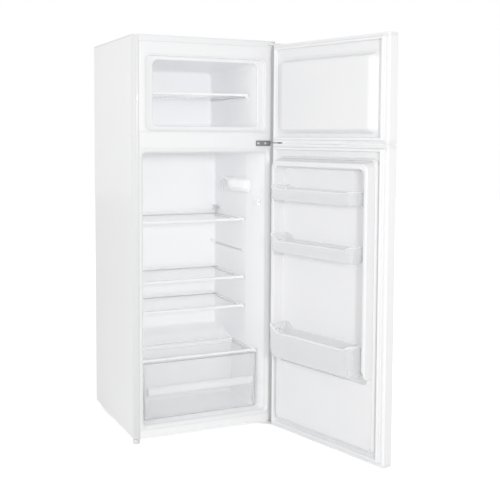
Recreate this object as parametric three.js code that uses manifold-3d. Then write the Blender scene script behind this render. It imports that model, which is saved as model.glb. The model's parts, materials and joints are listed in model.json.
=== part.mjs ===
// Two-door refrigerator with the freezer on top. Millimetres, +Z up; the front faces -Y.
// Origin: on the floor, under the middle of the cabinet. Both doors hinge on the right and stand open.
import * as THREE from "three";
import { mergeVertices } from "three/addons/utils/BufferGeometryUtils.js";
import Module from "manifold-3d";

const wasm = await Module();
wasm.setup();

// ---------------------------------------------------------------- driving dimensions
// Inside the cabinet group x runs to the right, y is the depth behind the cabinet's front plane, and z is the
// height above a floor that the feet reach when they are screwed right out. They are screwed in by
// `footRise`.
const cabinet = { width: 545, depth: 505, height: 1430, bottom: 30, corner: 19 };
const footRise = 11;
const side = cabinet.width / 2;
const touch = 0.3; // gap between pieces that touch
const steel = 0.8; // sheet steel
const skin = 2; // liner wall
const flangeHalf = 250; // where the side panels' front flanges end

const mullion = { low: 1042, high: 1100, thickness: 1.2 };
const railTop = 57.7; // bottom front rail
const coverTop = { thickness: 4, apronLow: 1408, apronThickness: 3, apronHalf: 252 };
const foamTop = 1413.7;

const bay = { front: 318, roofFront: 262, roofBack: 292 }; // compressor bay
const hump = { front: 268, ledge: 283.6, slope: [[282, 283.6], [322, 292], [352, 306.5], [452, 317]] };
const fridge = {
  half: 234, // half widths at the mouth, at the crease in the walls and at the back
  crease: 217.5,
  rear: 214.2,
  creaseDepth: 150,
  depth: 443,
  floor: 74,
  ceiling: 1027,
};
const fillet = { side: 14, depth: 16 }; // rounded mouth of the fridge compartment
const freezer = { lip: 224, lipDepth: 10, half: 198, rear: 195, depth: 440, floor: 1120, ceiling: 1347 };

const hinge = { inset: 7.5, ahead: 40, pin: 3.5, bore: 3.8 }; // in from the side, ahead of the cabinet
const openAngle = THREE.MathUtils.degToRad(105);
const door = { width: 545, inner: 25, outer: -15, sheet: 0.6, cap: 10, plug: 12, liner: 1.5 };
const freezerDoor = { low: 1065.5, high: 1412 };
const fridgeDoor = { low: 26, high: 1060.5 };
// The fridge door's ridges: heights over its inner face, and distances from its edges.
const ridge = { crest: 48, base: 14, foot: 3, wellEdge: 65, crestEdge: 59 };
const gasket = { edge: 15, width: 12, low: 25.3, high: 39.7 };
const grip = { from: 345, to: 530, height: 9, depth: 23, slot: 4.5, slotDepth: 6 };
const skirt = { from: 60, to: 541, drop: 4.2, shallow: 1, deep: 6.5, wall: 2 }; // closes the gap between the doors

const shelfTops = [773, 552, 441];
const spareRib = 655; // shelf position left empty
const shelf = { half: 211, front: 152, back: 432, glass: 4 };
const freezerShelf = { top: 1239, half: 190, front: 76, back: 424, glass: 4 };
const crisper = { low: 74.4, high: 277, front: 60, back: 266, wall: 2.5 };
const cover = { half: 214, front: 62, back: 278, low: 284, high: 288 };
const bins = [
  { name: "door_bin_top", low: 866, rim: 908, ear: 918, farEar: 914 },
  { name: "door_bin_middle", low: 684, rim: 727, ear: 747, farEar: 738 },
  { name: "door_bin_bottom", low: 314, rim: 408, ear: 430, farEar: 419 },
];
const binEnds = 75; // from each door edge
const binReach = 85; // from the door's inner face

// ---------------------------------------------------------------- materials
const paint = (color, roughness, metalness = 0, opacity = 1) =>
  new THREE.MeshStandardMaterial({ color, roughness, metalness, opacity, transparent: opacity < 1 });
const whiteSteel = paint(0xf4f4f2, 0.3);
const whitePlastic = paint(0xf1f2f2, 0.35);
const greyPlastic = paint(0xdddedf, 0.4);
const foam = paint(0xe6d9a8, 0.9);
const rubber = paint(0xeeeeec, 0.6);
const glass = paint(0xe3eeea, 0.08, 0, 0.3);
const clearPlastic = paint(0xdfe3e6, 0.15, 0, 0.45);
const darkSteel = paint(0x4a4a4c, 0.4, 0.7);
const zinc = paint(0xb9bbbd, 0.35, 0.9);
const blackPlastic = paint(0x1b1b1c, 0.5);
const blackSteel = paint(0x17181a, 0.35, 0.3);
const copper = paint(0xb5713f, 0.35, 0.9);

// ---------------------------------------------------------------- outlines
const fourCorners = (r) => (Array.isArray(r) ? r : [r, r, r, r]);

function roundedRect(u0, v0, u1, v1, radius) {
  const [a, b, c, d] = fourCorners(radius);
  const quarter = Math.PI / 2;
  return new THREE.Shape()
    .absarc(u0 + a, v0 + a, a, 2 * quarter, 3 * quarter, false)
    .absarc(u1 - b, v0 + b, b, 3 * quarter, 4 * quarter, false)
    .absarc(u1 - c, v1 - c, c, 0, quarter, false)
    .absarc(u0 + d, v1 - d, d, quarter, 2 * quarter, false);
}

const circle = (u, v, r) => new THREE.Shape().absarc(u, v, r, 0, 2 * Math.PI, false);

const polygon = (points) => new THREE.Shape(points.map(([u, v]) => new THREE.Vector2(u, v)));

// The outline of a bent sheet: the line through the points, and its copy one thickness to the left.
function sheetOutline(points, thickness) {
  const line = points.map((p) => (p.isVector2 ? p : new THREE.Vector2(...p)));
  const normal = (a, b) => {
    const d = b.clone().sub(a).normalize();
    return new THREE.Vector2(-d.y, d.x);
  };
  const inner = line.map((p, i) => {
    const before = normal(line[Math.max(i - 1, 0)], line[Math.max(i, 1)]);
    const after = normal(line[Math.min(i, line.length - 2)], line[Math.min(i + 1, line.length - 1)]);
    const middle = before.clone().add(after);
    return p.clone().addScaledVector(middle, (2 * thickness) / middle.lengthSq());
  });
  return new THREE.Shape([...line, ...inner.reverse()]);
}

// ---------------------------------------------------------------- solids
// Shapes are drawn in the plane across the axis: (x, y) for z, (y, z) for x and (x, z) for y.
const basis = (...axes) => new THREE.Matrix4().makeBasis(...axes.map((axis) => new THREE.Vector3(...axis)));

const across = {
  x: basis([0, 1, 0], [0, 0, 1], [1, 0, 0]),
  y: basis([1, 0, 0], [0, 0, 1], [0, -1, 0]),
  z: new THREE.Matrix4(),
};

function extrude(axis, shape, from, to, curveSegments = 2) {
  const geometry = new THREE.ExtrudeGeometry(shape, { depth: to - from, bevelEnabled: false, curveSegments });
  geometry.translate(0, 0, axis === "y" ? -to : from);
  return geometry.applyMatrix4(across[axis]);
}

const rod = (axis, u, v, r, from, to, segments = 7) => extrude(axis, circle(u, v, r), from, to, segments);

const block = (x0, x1, y0, y1, z0, z1) => extrude("z", corners(x0, y0, x1, y1), z0, z1);

function corners(u0, v0, u1, v1) {
  return polygon([[u0, v0], [u1, v0], [u1, v1], [u0, v1]]);
}

// A solid through rounded rectangles across the axis: each section is { at, box: [u0, v0, u1, v1], r }.
function loft(axis, sections, steps = 3) {
  const placed = axis === "y" ? [...sections].reverse().map((s) => ({ ...s, at: -s.at })) : sections;
  const ring = ({ at, box: [u0, v0, u1, v1], r }) => {
    const radii = fourCorners(r);
    const corners = [[u0, v0, 1, 1, 2], [u1, v0, -1, 1, 3], [u1, v1, -1, -1, 0], [u0, v1, 1, -1, 1]];
    return corners.flatMap(([u, v, du, dv, turn], i) =>
      Array.from({ length: steps + 1 }, (_, k) => {
        const angle = (turn + k / steps) * (Math.PI / 2);
        return [u + radii[i] * (du + Math.cos(angle)), v + radii[i] * (dv + Math.sin(angle)), at];
      }),
    );
  };
  const rings = placed.map(ring);
  const n = rings[0].length;
  const index = [];
  for (let k = 0; k + 1 < rings.length; k++)
    for (let i = 0; i < n; i++) {
      const [a, b] = [k * n + i, k * n + ((i + 1) % n)];
      index.push(a, b, b + n, a, b + n, a + n);
    }
  const last = (rings.length - 1) * n;
  for (let i = 1; i + 1 < n; i++) index.push(0, i + 1, i, last, last + i, last + i + 1);
  const geometry = new THREE.BufferGeometry();
  geometry.setAttribute("position", new THREE.Float32BufferAttribute(rings.flat(2), 3));
  geometry.setIndex(index);
  return geometry.applyMatrix4(across[axis]);
}

function toSolid(geometry) {
  const loose = geometry.index ? geometry.toNonIndexed() : geometry;
  const bare = new THREE.BufferGeometry().setAttribute("position", loose.getAttribute("position"));
  const merged = mergeVertices(bare, 1e-3);
  const mesh = { numProp: 3, vertProperties: merged.attributes.position.array };
  return new wasm.Manifold(new wasm.Mesh({ ...mesh, triVerts: new Uint32Array(merged.index.array) }));
}

function toGeometry(solid) {
  const mesh = solid.getMesh();
  const geometry = new THREE.BufferGeometry();
  geometry.setAttribute("position", new THREE.BufferAttribute(mesh.vertProperties, 3));
  geometry.setIndex(new THREE.BufferAttribute(mesh.triVerts, 1));
  return geometry;
}

const cut = (body, ...tools) =>
  toGeometry(tools.reduce((rest, tool) => rest.subtract(toSolid(tool)), toSolid(body)));
const join = (...bodies) => toGeometry(bodies.map(toSolid).reduce((all, body) => all.add(body)));
const common = (a, b) => toGeometry(toSolid(a).intersect(toSolid(b)));
const mirrored = (geometry) => toGeometry(toSolid(geometry).mirror([1, 0, 0]));

function add(parent, name, geometry, material) {
  const mesh = new THREE.Mesh(geometry, material);
  mesh.name = name;
  parent.add(mesh);
}

// ---------------------------------------------------------------- the two compartments
// Each cavity is grown by `grow`: 0 is the liner's inner face, `skin` its outer face, and more is the
// foam's cut.
function fridgeCavity(grow) {
  const box = (half, floor, ceiling) => [-half - grow, floor - grow, half + grow, ceiling + grow];
  const mouth = [0, 0.33, 0.67, 1].map((t) => {
    const [across, along] = [1 - Math.sin((t * Math.PI) / 2), Math.cos((t * Math.PI) / 2)];
    const outward = (fillet.side - grow) * across;
    const sizes = [fridge.half + outward, fridge.floor - outward, fridge.ceiling + outward];
    return { at: fillet.depth - (fillet.depth - grow) * along, box: box(...sizes), r: 12 + outward + grow };
  });
  const rear = fridge.depth + grow;
  const front = grow > 0 ? 0 : -1;
  const hollow = loft("y", [
    { ...mouth[0], at: front },
    ...mouth,
    { at: fridge.creaseDepth, box: box(fridge.crease, fridge.floor, fridge.ceiling - 1), r: 14 },
    { at: rear, box: box(fridge.rear, fridge.floor, fridge.ceiling - 3), r: 12 },
  ]);
  const slope = hump.slope.map(([y, z]) => [y + grow / 3, z - grow]);
  const start = [[hump.front + grow, 0], [hump.front + grow, hump.ledge - grow]];
  const step = polygon([...start, ...slope, [rear + 30, slope.at(-1)[1]], [rear + 30, 0]]);
  return cut(hollow, extrude("x", step, -side, side));
}

function freezerCavity(grow) {
  const box = (half, floor, ceiling) => [-half - grow, floor - grow, half + grow, ceiling + grow];
  const lip = { box: box(freezer.lip, freezer.floor - 14, freezer.ceiling + 13), r: 18 };
  const inset = (by, half) => box(half, freezer.floor + by, freezer.ceiling - by);
  return loft("y", [
    { ...lip, at: grow > 0 ? 0 : -1 },
    { ...lip, at: freezer.lipDepth + grow },
    { at: freezer.lipDepth + grow, box: inset(-1.5, freezer.half + 1.5), r: 22 },
    { at: freezer.lipDepth + 3 + grow, box: inset(0, freezer.half), r: 20 },
    { at: 165, box: inset(1, freezer.half - 2), r: 20 },
    { at: freezer.depth + grow, box: inset(3, freezer.rear), r: 16 },
  ]);
}

// A moulded ledge with round ends on both side walls, its top face at z.
function ledges(cavity, z, from, to, inner) {
  const outline = roundedRect(from, z - 9, to, z, 4);
  return [-1, 1].map((hand) =>
    common(extrude("x", outline, ...(hand < 0 ? [-side, -inner] : [inner, side])), cavity),
  );
}

function addLiners(group) {
  const edge = flangeHalf - touch;
  const fridgeFlange = block(-edge, edge, 0, skin, railTop + touch, mullion.low - touch);
  const inFridge = fridgeCavity(skin);
  const rests = [...shelfTops.map((z) => z - shelf.glass), spareRib].map((z) => z - touch);
  const fridgeLiner = join(
    cut(join(fridgeFlange, inFridge), fridgeCavity(0)),
    ...rests.flatMap((z) => ledges(inFridge, z, 162, 436, 208.5)),
    ...ledges(inFridge, cover.low - touch, 72, 262, 211.5),
  );
  add(group, "fridge_liner", fridgeLiner, whitePlastic);

  const top = coverTop.apronLow - touch;
  const freezerFlange = block(-flangeHalf + touch, flangeHalf - touch, 0, skin, mullion.high + touch, top);
  const inFreezer = freezerCavity(skin);
  const freezerLiner = join(
    cut(join(freezerFlange, inFreezer), freezerCavity(0)),
    ...ledges(inFreezer, freezerShelf.top - freezerShelf.glass - touch, 88, 430, 187),
  );
  add(group, "freezer_liner", freezerLiner, whitePlastic);
}

// ---------------------------------------------------------------- cabinet shell
const cabinetOutline = (inset) => {
  const [front, rear] = [Math.max(cabinet.corner - inset, 1), 2];
  return roundedRect(-side + inset, inset, side - inset, cabinet.depth - inset, [front, front, rear, rear]);
};

const bayProfile = (inset) => [
  [bay.front - inset, 0],
  [bay.front - inset, bay.roofFront + inset],
  [cabinet.depth + 5, bay.roofBack + inset],
  [cabinet.depth + 5, 0],
];

const frontFoot = { x: 259, y: 16, pad: 11, stud: 5 };

function footHoles() {
  return [-1, 1].map((hand) => rod("z", hand * frontFoot.x, frontFoot.y, frontFoot.stud + touch, 0, 48));
}

function addShell(group) {
  const { corner, depth, height, bottom } = cabinet;
  const bend = new THREE.Path()
    .moveTo(flangeHalf, 0)
    .absarc(side - corner, corner, corner, -Math.PI / 2, 0, false)
    .lineTo(side, depth);
  const panel = cut(
    extrude("z", sheetOutline(bend.getPoints(3), steel), bottom, height - coverTop.thickness - touch),
    block(0, coverTop.apronHalf + touch, -1, 6, coverTop.apronLow - touch, height),
  );
  add(group, "side_panel_right", panel, whiteSteel);
  add(group, "side_panel_left", mirrored(panel), whiteSteel);

  const low = height - coverTop.thickness;
  const topCorners = [corner - 1.5, corner - 1.5, 2.5, 2.5];
  const lid = loft("z", [
    { at: low, box: [-side, 0, side, depth], r: [corner, corner, 4, 4] },
    { at: height - 1.5, box: [-side, 0, side, depth], r: [corner, corner, 4, 4] },
    { at: height, box: [-side + 1.5, 1.5, side - 1.5, depth - 1.5], r: topCorners },
  ]);
  const { apronHalf, apronThickness, apronLow } = coverTop;
  const apron = block(-apronHalf, apronHalf, 0, apronThickness, apronLow, low);
  const armNotch = block(236.4, coverTop.apronHalf + 1, -1, 5, upperHinge.low - 0.5, upperHinge.high + 0.5);
  add(group, "top_cover", cut(join(lid, apron), armNotch), greyPlastic);

  const half = side - steel - touch;
  const sheet = block(-half, half, depth - steel, depth, bay.roofBack + 2, low - touch);
  add(group, "back_panel", sheet, whiteSteel);

  const pan = sheetOutline(
    [
      [depth - steel - touch, bay.roofBack - 1.5],
      [bay.front, bay.roofFront],
      [bay.front, bottom],
      [0, bottom],
      [0, railTop],
    ].reverse(),
    steel,
  );
  const inside = extrude("z", cabinetOutline(steel + touch), 0, height);
  const flange = block(-flangeHalf + touch, flangeHalf - touch, -1, 4, 0, height);
  const panBody = common(extrude("x", pan, -half, half), join(inside, flange));
  add(group, "base_pan", cut(panBody, ...footHoles()), whiteSteel);

  const edge = flangeHalf - touch;
  const plate = block(-edge, edge, 0, mullion.thickness, mullion.low, mullion.high);
  add(group, "mullion_plate", cut(plate, ...screwHoles()), whitePlastic);
}

function addFoam(group) {
  const wall = steel + touch;
  const core = extrude("z", cabinetOutline(wall), cabinet.bottom + wall, foamTop);
  const behindApron = coverTop.apronThickness + touch;
  const faced = cut(
    core,
    block(-side, side, 0, skin + touch, 0, cabinet.height),
    block(-side, side, 0, behindApron, coverTop.apronLow - touch, cabinet.height),
  );
  const body = cut(
    faced,
    extrude("x", polygon(bayProfile(wall)), -side, side),
    fridgeCavity(skin + touch),
    freezerCavity(skin + touch),
    evaporator(touch),
    ...footHoles(),
    ...screwHoles(),
  );
  add(group, "insulation_foam", body, foam);
  add(group, "evaporator_plate", evaporator(0), zinc);
}

// The evaporator lies flat against the back of the freezer's rear wall.
function evaporator(grow) {
  const front = freezer.depth + skin + 2 * touch;
  return block(-170 - grow, 170 + grow, front - grow, front + 4 + grow, 1142 - grow, 1326 + grow);
}

// ---------------------------------------------------------------- hinges
const pinX = side - hinge.inset;
const upperHinge = { low: 1415.3, high: 1418.3 };
const middleHinge = { low: 1061.5, high: 1064.5, left: 189, right: 247, bottom: 1051, top: 1071 };
const lowerHinge = { low: 22.4, high: 25.4, left: 214, right: 245 };
const screw = { head: 4.3, shank: 2, length: 14, z: 1061, xs: { left: 198, right: 226 } };

const screwHoles = () =>
  Object.values(screw.xs).map((x) => rod("y", x, screw.z, screw.shank + touch, -8, screw.length + 1, 4));

// A flat arm whose root spans `left` to `right` at depth `root`, with a round end over the pin.
function hingeArm(left, right, root, low, high) {
  const arm = new THREE.Shape()
    .moveTo(left, root)
    .lineTo(pinX - 8, -hinge.ahead - 7.5)
    .absarc(pinX, -hinge.ahead, 11, (-137 * Math.PI) / 180, 0, false)
    .lineTo(Math.min(pinX + 7, right), root)
    .closePath();
  return extrude("z", arm, low, high, 3);
}

function addHinges(group) {
  const seat = block(196, 250, 5, 62, upperHinge.low, upperHinge.high);
  const neck = block(237, 251.6, -4, 6, upperHinge.low, upperHinge.high);
  const upperArm = hingeArm(237, 251.6, -2, upperHinge.low, upperHinge.high);
  const upperPin = rod("z", pinX, -hinge.ahead, hinge.pin, 1396, upperHinge.high);
  add(group, "upper_hinge", join(seat, neck, upperArm, upperPin), whiteSteel);

  const { left, right, bottom, top, low, high } = middleHinge;
  const bracket = extrude("y", roundedRect(left, bottom, right, top, 3), -3.3, -touch);
  const middleArm = hingeArm(233, right, -1, low, high);
  const middlePin = rod("z", pinX, -hinge.ahead, hinge.pin, low - 18, high + 18);
  add(group, "middle_hinge", cut(join(bracket, middleArm, middlePin), ...screwHoles()), darkSteel);

  for (const [name, x] of Object.entries(screw.xs)) {
    const head = rod("y", x, screw.z, screw.head, -5.4, -3.3 - touch);
    const shank = rod("y", x, screw.z, screw.shank, -4, screw.length, 4);
    add(group, `middle_hinge_screw_${name}`, join(head, shank), zinc);
  }

  const foot = lowerHinge;
  const lowerSeat = block(186, foot.right, 4, 66, cabinet.bottom - 3 - touch, cabinet.bottom - touch);
  const joggle = block(foot.left, foot.right, 1, 7, foot.low, cabinet.bottom - touch);
  const lowerArm = hingeArm(foot.left, foot.right, 4, foot.low, foot.high);
  const lowerPin = rod("z", pinX, -hinge.ahead, hinge.pin, foot.low, 41);
  add(group, "lower_hinge", join(lowerSeat, joggle, lowerArm, lowerPin), whiteSteel);
}

// ---------------------------------------------------------------- feet and machinery
function addFeet(group) {
  for (const [name, hand] of [["left", -1], ["right", 1]]) {
    const { x, y, pad, stud } = frontFoot;
    const foot = join(
      rod("z", hand * x, y, pad, footRise, footRise + 11, 3),
      rod("z", hand * x, y, 8, footRise + 10, cabinet.bottom - touch, 3),
      rod("z", hand * x, y, stud, 20, 44),
    );
    add(group, `front_foot_${name}`, foot, greyPlastic);
    const rearFoot = rod("z", hand * 235, 470, 14, footRise, cabinet.bottom - touch);
    add(group, `rear_foot_${name}`, rearFoot, blackPlastic);
  }
}

const compressor = { x: -40, y: 415, radius: 72, base: 48, low: 51, seam: 128, top: 205 };

function addMachinery(group) {
  const { x, y, radius, base, low, seam, top } = compressor;
  const profile = [[0, low], [48, low], [radius, low + 22], [radius, seam - 4], [radius + 4, seam - 4]];
  const lid = [[radius + 4, seam + 4], [radius, seam + 4], [radius, top - 40]];
  const dome = [...lid, [56, top - 12], [26, top], [0, top]];
  const can = new THREE.LatheGeometry([...profile, ...dome].map(([r, z]) => new THREE.Vector2(r, z)), 24);
  can.rotateX(Math.PI / 2).translate(x, y, 0);
  const legs = extrude("z", roundedRect(x - 95, y - 58, x + 95, y + 58, 14), base, low + 3);
  const corners = [[-80, -45], [80, -45], [80, 45], [-80, 45]];
  const feet = corners.map(([dx, dy]) => rod("z", x + dx, y + dy, 10, 32.3, base + 1, 4));
  add(group, "compressor", join(can, legs, ...feet), blackSteel);

  const plateLine = [[498, 44], [498, cabinet.bottom], [330, cabinet.bottom], [330, 44]];
  add(group, "compressor_plate", extrude("x", sheetOutline(plateLine, -2), -268, 268), zinc);

  const tray = { x0: x - 85, x1: x + 85, y0: 352, y1: 478, low: top + touch + 2, high: top + 32 };
  const outer = { at: tray.low, box: [tray.x0 + 6, tray.y0 + 6, tray.x1 - 6, tray.y1 - 6], r: 12 };
  const rim = { at: tray.high, box: [tray.x0, tray.y0, tray.x1, tray.y1], r: 14 };
  const shrink = ({ at, box: [a, b, c, d], r }, by, up) => {
    return { at: at + up, box: [a + by, b + by, c - by, d - by], r: r - by };
  };
  const bowl = cut(loft("z", [outer, rim]), loft("z", [shrink(outer, 2, 2), shrink(rim, 2, 1)]));
  add(group, "evaporation_tray", bowl, whitePlastic);

  const relay = roundedRect(x - radius - 38, y - 26, x - radius - 5, y + 26, 4);
  add(group, "relay_cover", extrude("z", relay, 88, 150), blackPlastic);

  const bends = [[x + radius + 4, y, 150], [95, 430, 150], [122, 448, 168], [126, 452, 215], [126, 452, 276]];
  const route = new THREE.CatmullRomCurve3(bends.map((p) => new THREE.Vector3(...p)), false, "centripetal");
  const section = new THREE.Shape(circle(0, 0, 4).getPoints(4).slice(0, 8));
  const tube = new THREE.ExtrudeGeometry(section, { steps: 16, extrudePath: route, bevelEnabled: false });
  add(group, "suction_tube", tube, copper);

  const gland = cut(block(180, 206, 474, 495, 32.3, 57), rod("y", 193, 49, 4.2, 470, 500));
  add(group, "mains_cord_gland", gland, blackPlastic);
}

// ---------------------------------------------------------------- light, thermostat and door switch
const lamp = { face: 195, low: 877, high: 925, lensLow: 889, lensHigh: 920, lensFront: 84, lensBack: 248 };
const knob = { y: 300, z: 897, r: 18, shaft: 3 };

function addLight(group) {
  const { face, low, high, lensLow, lensHigh, lensFront, lensBack } = lamp;
  const plan = polygon([[215, 348], [face, 340], [face, 80], [face + 2, 78], [221.9, 112], [217.3, 150]]);
  const hollow = block(face - 1, 211, lensFront + 8, lensBack - 8, lensLow + 4, lensHigh - 4);
  const shaftHole = rod("x", knob.y, knob.z, knob.shaft + touch, face - 1, face + 16);
  add(group, "thermostat_housing", cut(extrude("z", plan, low, high), hollow, shaftHole), whitePlastic);

  const outer = (by, x) => {
    return { at: x, box: [lensFront + by, lensLow + by, lensBack - by, lensHigh - by], r: 14 - by };
  };
  const sections = [outer(7, face - 9), outer(2, face - 6.5), outer(0, face - 3), outer(0, face - touch)];
  const shell = loft("x", sections);
  const inside = loft("x", [outer(8, face - 7), outer(3.5, face - 5), outer(2, face - 2.5), outer(2, face)]);
  add(group, "lamp_lens", cut(shell, inside), whitePlastic);

  const bulb = join(rod("y", 200.5, 904, 8, 140, 185), rod("y", 200.5, 904, 5, 130, 141));
  add(group, "lamp_bulb", bulb, glass);

  const plunger = { x: 221, z: 843 };
  const slot = rod("y", plunger.x, plunger.z, 3.8, 40, 58);
  add(group, "light_switch_body", cut(block(215, 227.5, 43, 63, 832, 854), slot), whitePlastic);
  add(group, "light_switch_plunger", rod("y", plunger.x, plunger.z, 3.4, 36.5, 51), greyPlastic);

  const dial = join(
    rod("x", knob.y, knob.z, knob.r, face - 7, face - 1, 8),
    block(face - 11, face - 6, knob.y - 3, knob.y + 3, knob.z - knob.r + 2, knob.z + knob.r - 2),
    rod("x", knob.y, knob.z, knob.shaft, face - 5, face + 12),
  );
  add(group, "thermostat_knob", dial, greyPlastic);
}

// ---------------------------------------------------------------- shelves and crisper
// A trim that grips the edge of a glass sheet: a C section, open towards the glass.
function edgeTrim(half, edge, low, high, towards, reach) {
  const [gap, wall] = [touch, 2.2];
  const y = (d) => edge + towards * d;
  const outline = polygon([
    [y(reach), low - gap - wall], [y(reach), low - gap], [y(-gap), low - gap], [y(-gap), high + gap],
    [y(reach), high + gap], [y(reach), high + gap + wall], [y(-gap - wall), high + gap + wall],
    [y(-gap - wall), low - gap - wall],
  ]);
  return extrude("x", outline, -half, half);
}

function addShelves(group) {
  shelfTops.forEach((top, i) => {
    const { half, front, back, glass: thick } = shelf;
    const name = `shelf_${i + 1}`;
    const sheet = extrude("z", roundedRect(-half, front, half, back, 6), top - thick, top);
    add(group, `${name}_glass`, sheet, glass);
    const frontTrim = edgeTrim(half + 3, front, top - thick, top, 1, 9);
    add(group, `${name}_front_trim`, frontTrim, whitePlastic);
    const rearStop = block(-half + 3.5, half - 3.5, back + touch, back + touch + 2.2, top, top + 11);
    const rearTrim = join(edgeTrim(half - 3.5, back, top - thick, top, -1, 7), rearStop);
    add(group, `${name}_rear_trim`, rearTrim, whitePlastic);
  });

  const { half, front, back, top, glass: thick } = freezerShelf;
  const sheet = extrude("z", roundedRect(-half, front, half, back, 6), top - thick, top);
  add(group, "freezer_shelf_glass", sheet, glass);
  const trim = edgeTrim(half + 1, front, top - thick, top, 1, 9);
  add(group, "freezer_shelf_front_trim", trim, whitePlastic);
}

function addCrisper(group) {
  const outline = roundedRect(-cover.half, cover.front, cover.half, cover.back, 6);
  const pane = extrude("z", outline, cover.low, cover.high);
  add(group, "crisper_cover_glass", pane, glass);
  add(group, "crisper_cover_trim", edgeTrim(222, cover.front, cover.low, cover.high, 1, 9), whitePlastic);

  const { low, high, front, back, wall } = crisper;
  const outer = (inset, at) => {
    return { at, box: [-211 + inset, front + inset / 2, 211 - inset, back - inset], r: 16 };
  };
  const inner = (inset, at) => {
    const { box: [a, b, c, d] } = outer(inset, at);
    return { at, box: [a + wall, b + wall, c - wall, d - wall], r: 14 };
  };
  const tub = cut(
    loft("z", [outer(8, low), outer(5, low + 3), outer(0, high - 5)]),
    loft("z", [inner(9, low + wall), inner(5, low + 8), inner(0, high)]),
  );
  const faceOutline = polygon([[-217, low], [217, low], [222, high], [-222, high]]);
  const face = extrude("y", faceOutline, front - 3, front + 1);
  const ledge = roundedRect(front - 15, 178, front - 2, 187, [4, 0.5, 0.5, 4]);
  const drawer = join(tub, face, extrude("x", ledge, -204, 204));
  add(group, "crisper_drawer", drawer, clearPlastic);
}

// ---------------------------------------------------------------- doors
// Inside a door group the origin is the hinge pin, the closed door runs towards -X and y grows towards
// the cabinet.
const along = (s) => hinge.inset - s; // s is measured from the door's hinge edge
const faceBox = (s0, s1, z0, z1) => [along(s1), z0, along(s0), z1];
const pinBore = (from, to) => rod("z", 0, 0, hinge.bore, from, to);

function doorSkin(low, high) {
  const { inner, outer, width } = door;
  const [soft, tight, fold] = [6, 3, 8];
  const quarter = Math.PI / 2;
  const line = new THREE.Path()
    .moveTo(along(width - fold), inner)
    .absarc(along(width - tight), inner - tight, tight, quarter, 2 * quarter, false)
    .absarc(along(width - soft), outer + soft, soft, 2 * quarter, 3 * quarter, false)
    .absarc(along(soft), outer + soft, soft, 3 * quarter, 4 * quarter, false)
    .absarc(along(tight), inner - tight, tight, 0, quarter, false)
    .lineTo(along(fold), inner);
  const points = line.getPoints(2).filter((p, i, all) => i === 0 || p.distanceTo(all[i - 1]) > 0.01);
  return extrude("z", sheetOutline(points, door.sheet), low + door.cap + touch, high - door.cap - touch);
}

// An end cap: a full-size slab and a plug that fits inside the skin. `up` is 1 for a top cap and -1 for a
// bottom one.
function endCap(edge, up, gripped) {
  const { inner, outer, width, cap, plug } = door;
  const span = (near, far) => [edge - up * near, edge - up * far].sort((a, b) => a - b);
  const slab = extrude("z", roundedRect(along(width), outer, along(0), inner, [6, 6, 3, 3]), ...span(0, cap));
  const inset = door.sheet + 2 * touch;
  const body = roundedRect(along(width) + inset, outer + inset, along(0) - inset, inner - 2.2, 4);
  const tools = [pinBore(...span(-1, cap + plug - 3))];
  if (gripped) {
    const scoop = roundedRect(along(grip.to), outer - 9, along(grip.from), outer + grip.depth, [1, 1, 9, 9]);
    tools.push(extrude("z", scoop, ...span(-1, grip.height)));
    const slot = [along(grip.to), along(grip.from), inner - grip.slotDepth, inner + 1];
    tools.push(block(...slot, ...span(-1, grip.slot)));
  }
  const strips = gripped && up < 0 ? doorSkirt(edge) : [];
  return cut(join(slab, extrude("z", body, ...span(cap - 1, cap + plug)), ...strips), ...tools);
}

// A thin skirt under the upper door, near its inner face; behind the grip it stands further back.
function doorSkirt(edge) {
  const strip = (s0, s1, depth) => {
    const y = door.inner - depth;
    return block(along(s1), along(s0), y - skirt.wall, y, edge - skirt.drop, edge + 1);
  };
  const [near, far] = [grip.from - 2, grip.to + 2];
  return [strip(skirt.from, near, skirt.shallow), strip(near, far, skirt.deep), strip(far, skirt.to, skirt.shallow)];
}

function gasketRing(low, high) {
  const ring = (inset, width, from, to) => {
    const outline = (by) => {
      const up = by - gasket.edge;
      return roundedRect(along(door.width - by), low + up, along(by), high - up, 3);
    };
    const body = outline(gasket.edge + inset);
    body.holes.push(outline(gasket.edge + inset + width));
    return extrude("y", body, from, to, 2);
  };
  const { width, low: base, high: tip } = gasket;
  return join(ring(0, width, base, base + 4), ring(2, width - 4, base + 3.9, tip));
}

// The raised form of a door liner as sections that rise from the inner face, shrunk by `inset`.
function raised(sections, inset) {
  return loft(
    "y",
    sections.map(({ height, box: [s0, s1, z0, z1], r }) => ({
      at: door.inner + (height > 0 ? height - inset : -door.liner - (inset > 0 ? 0.5 : 0)),
      box: faceBox(s0 + inset, s1 - inset, z0 + inset, z1 - inset),
      r: fourCorners(r).map((radius) => radius - inset),
    })),
  );
}

const freezerPanel = (inset) =>
  raised(
    [
      { height: 0, box: [41, 504, 1096, 1352], r: 20 },
      { height: 20, box: [60, 485, 1111, 1344], r: 14 },
      { height: 23, box: [63, 482, 1114, 1341], r: 12 },
    ],
    inset,
  );

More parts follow.
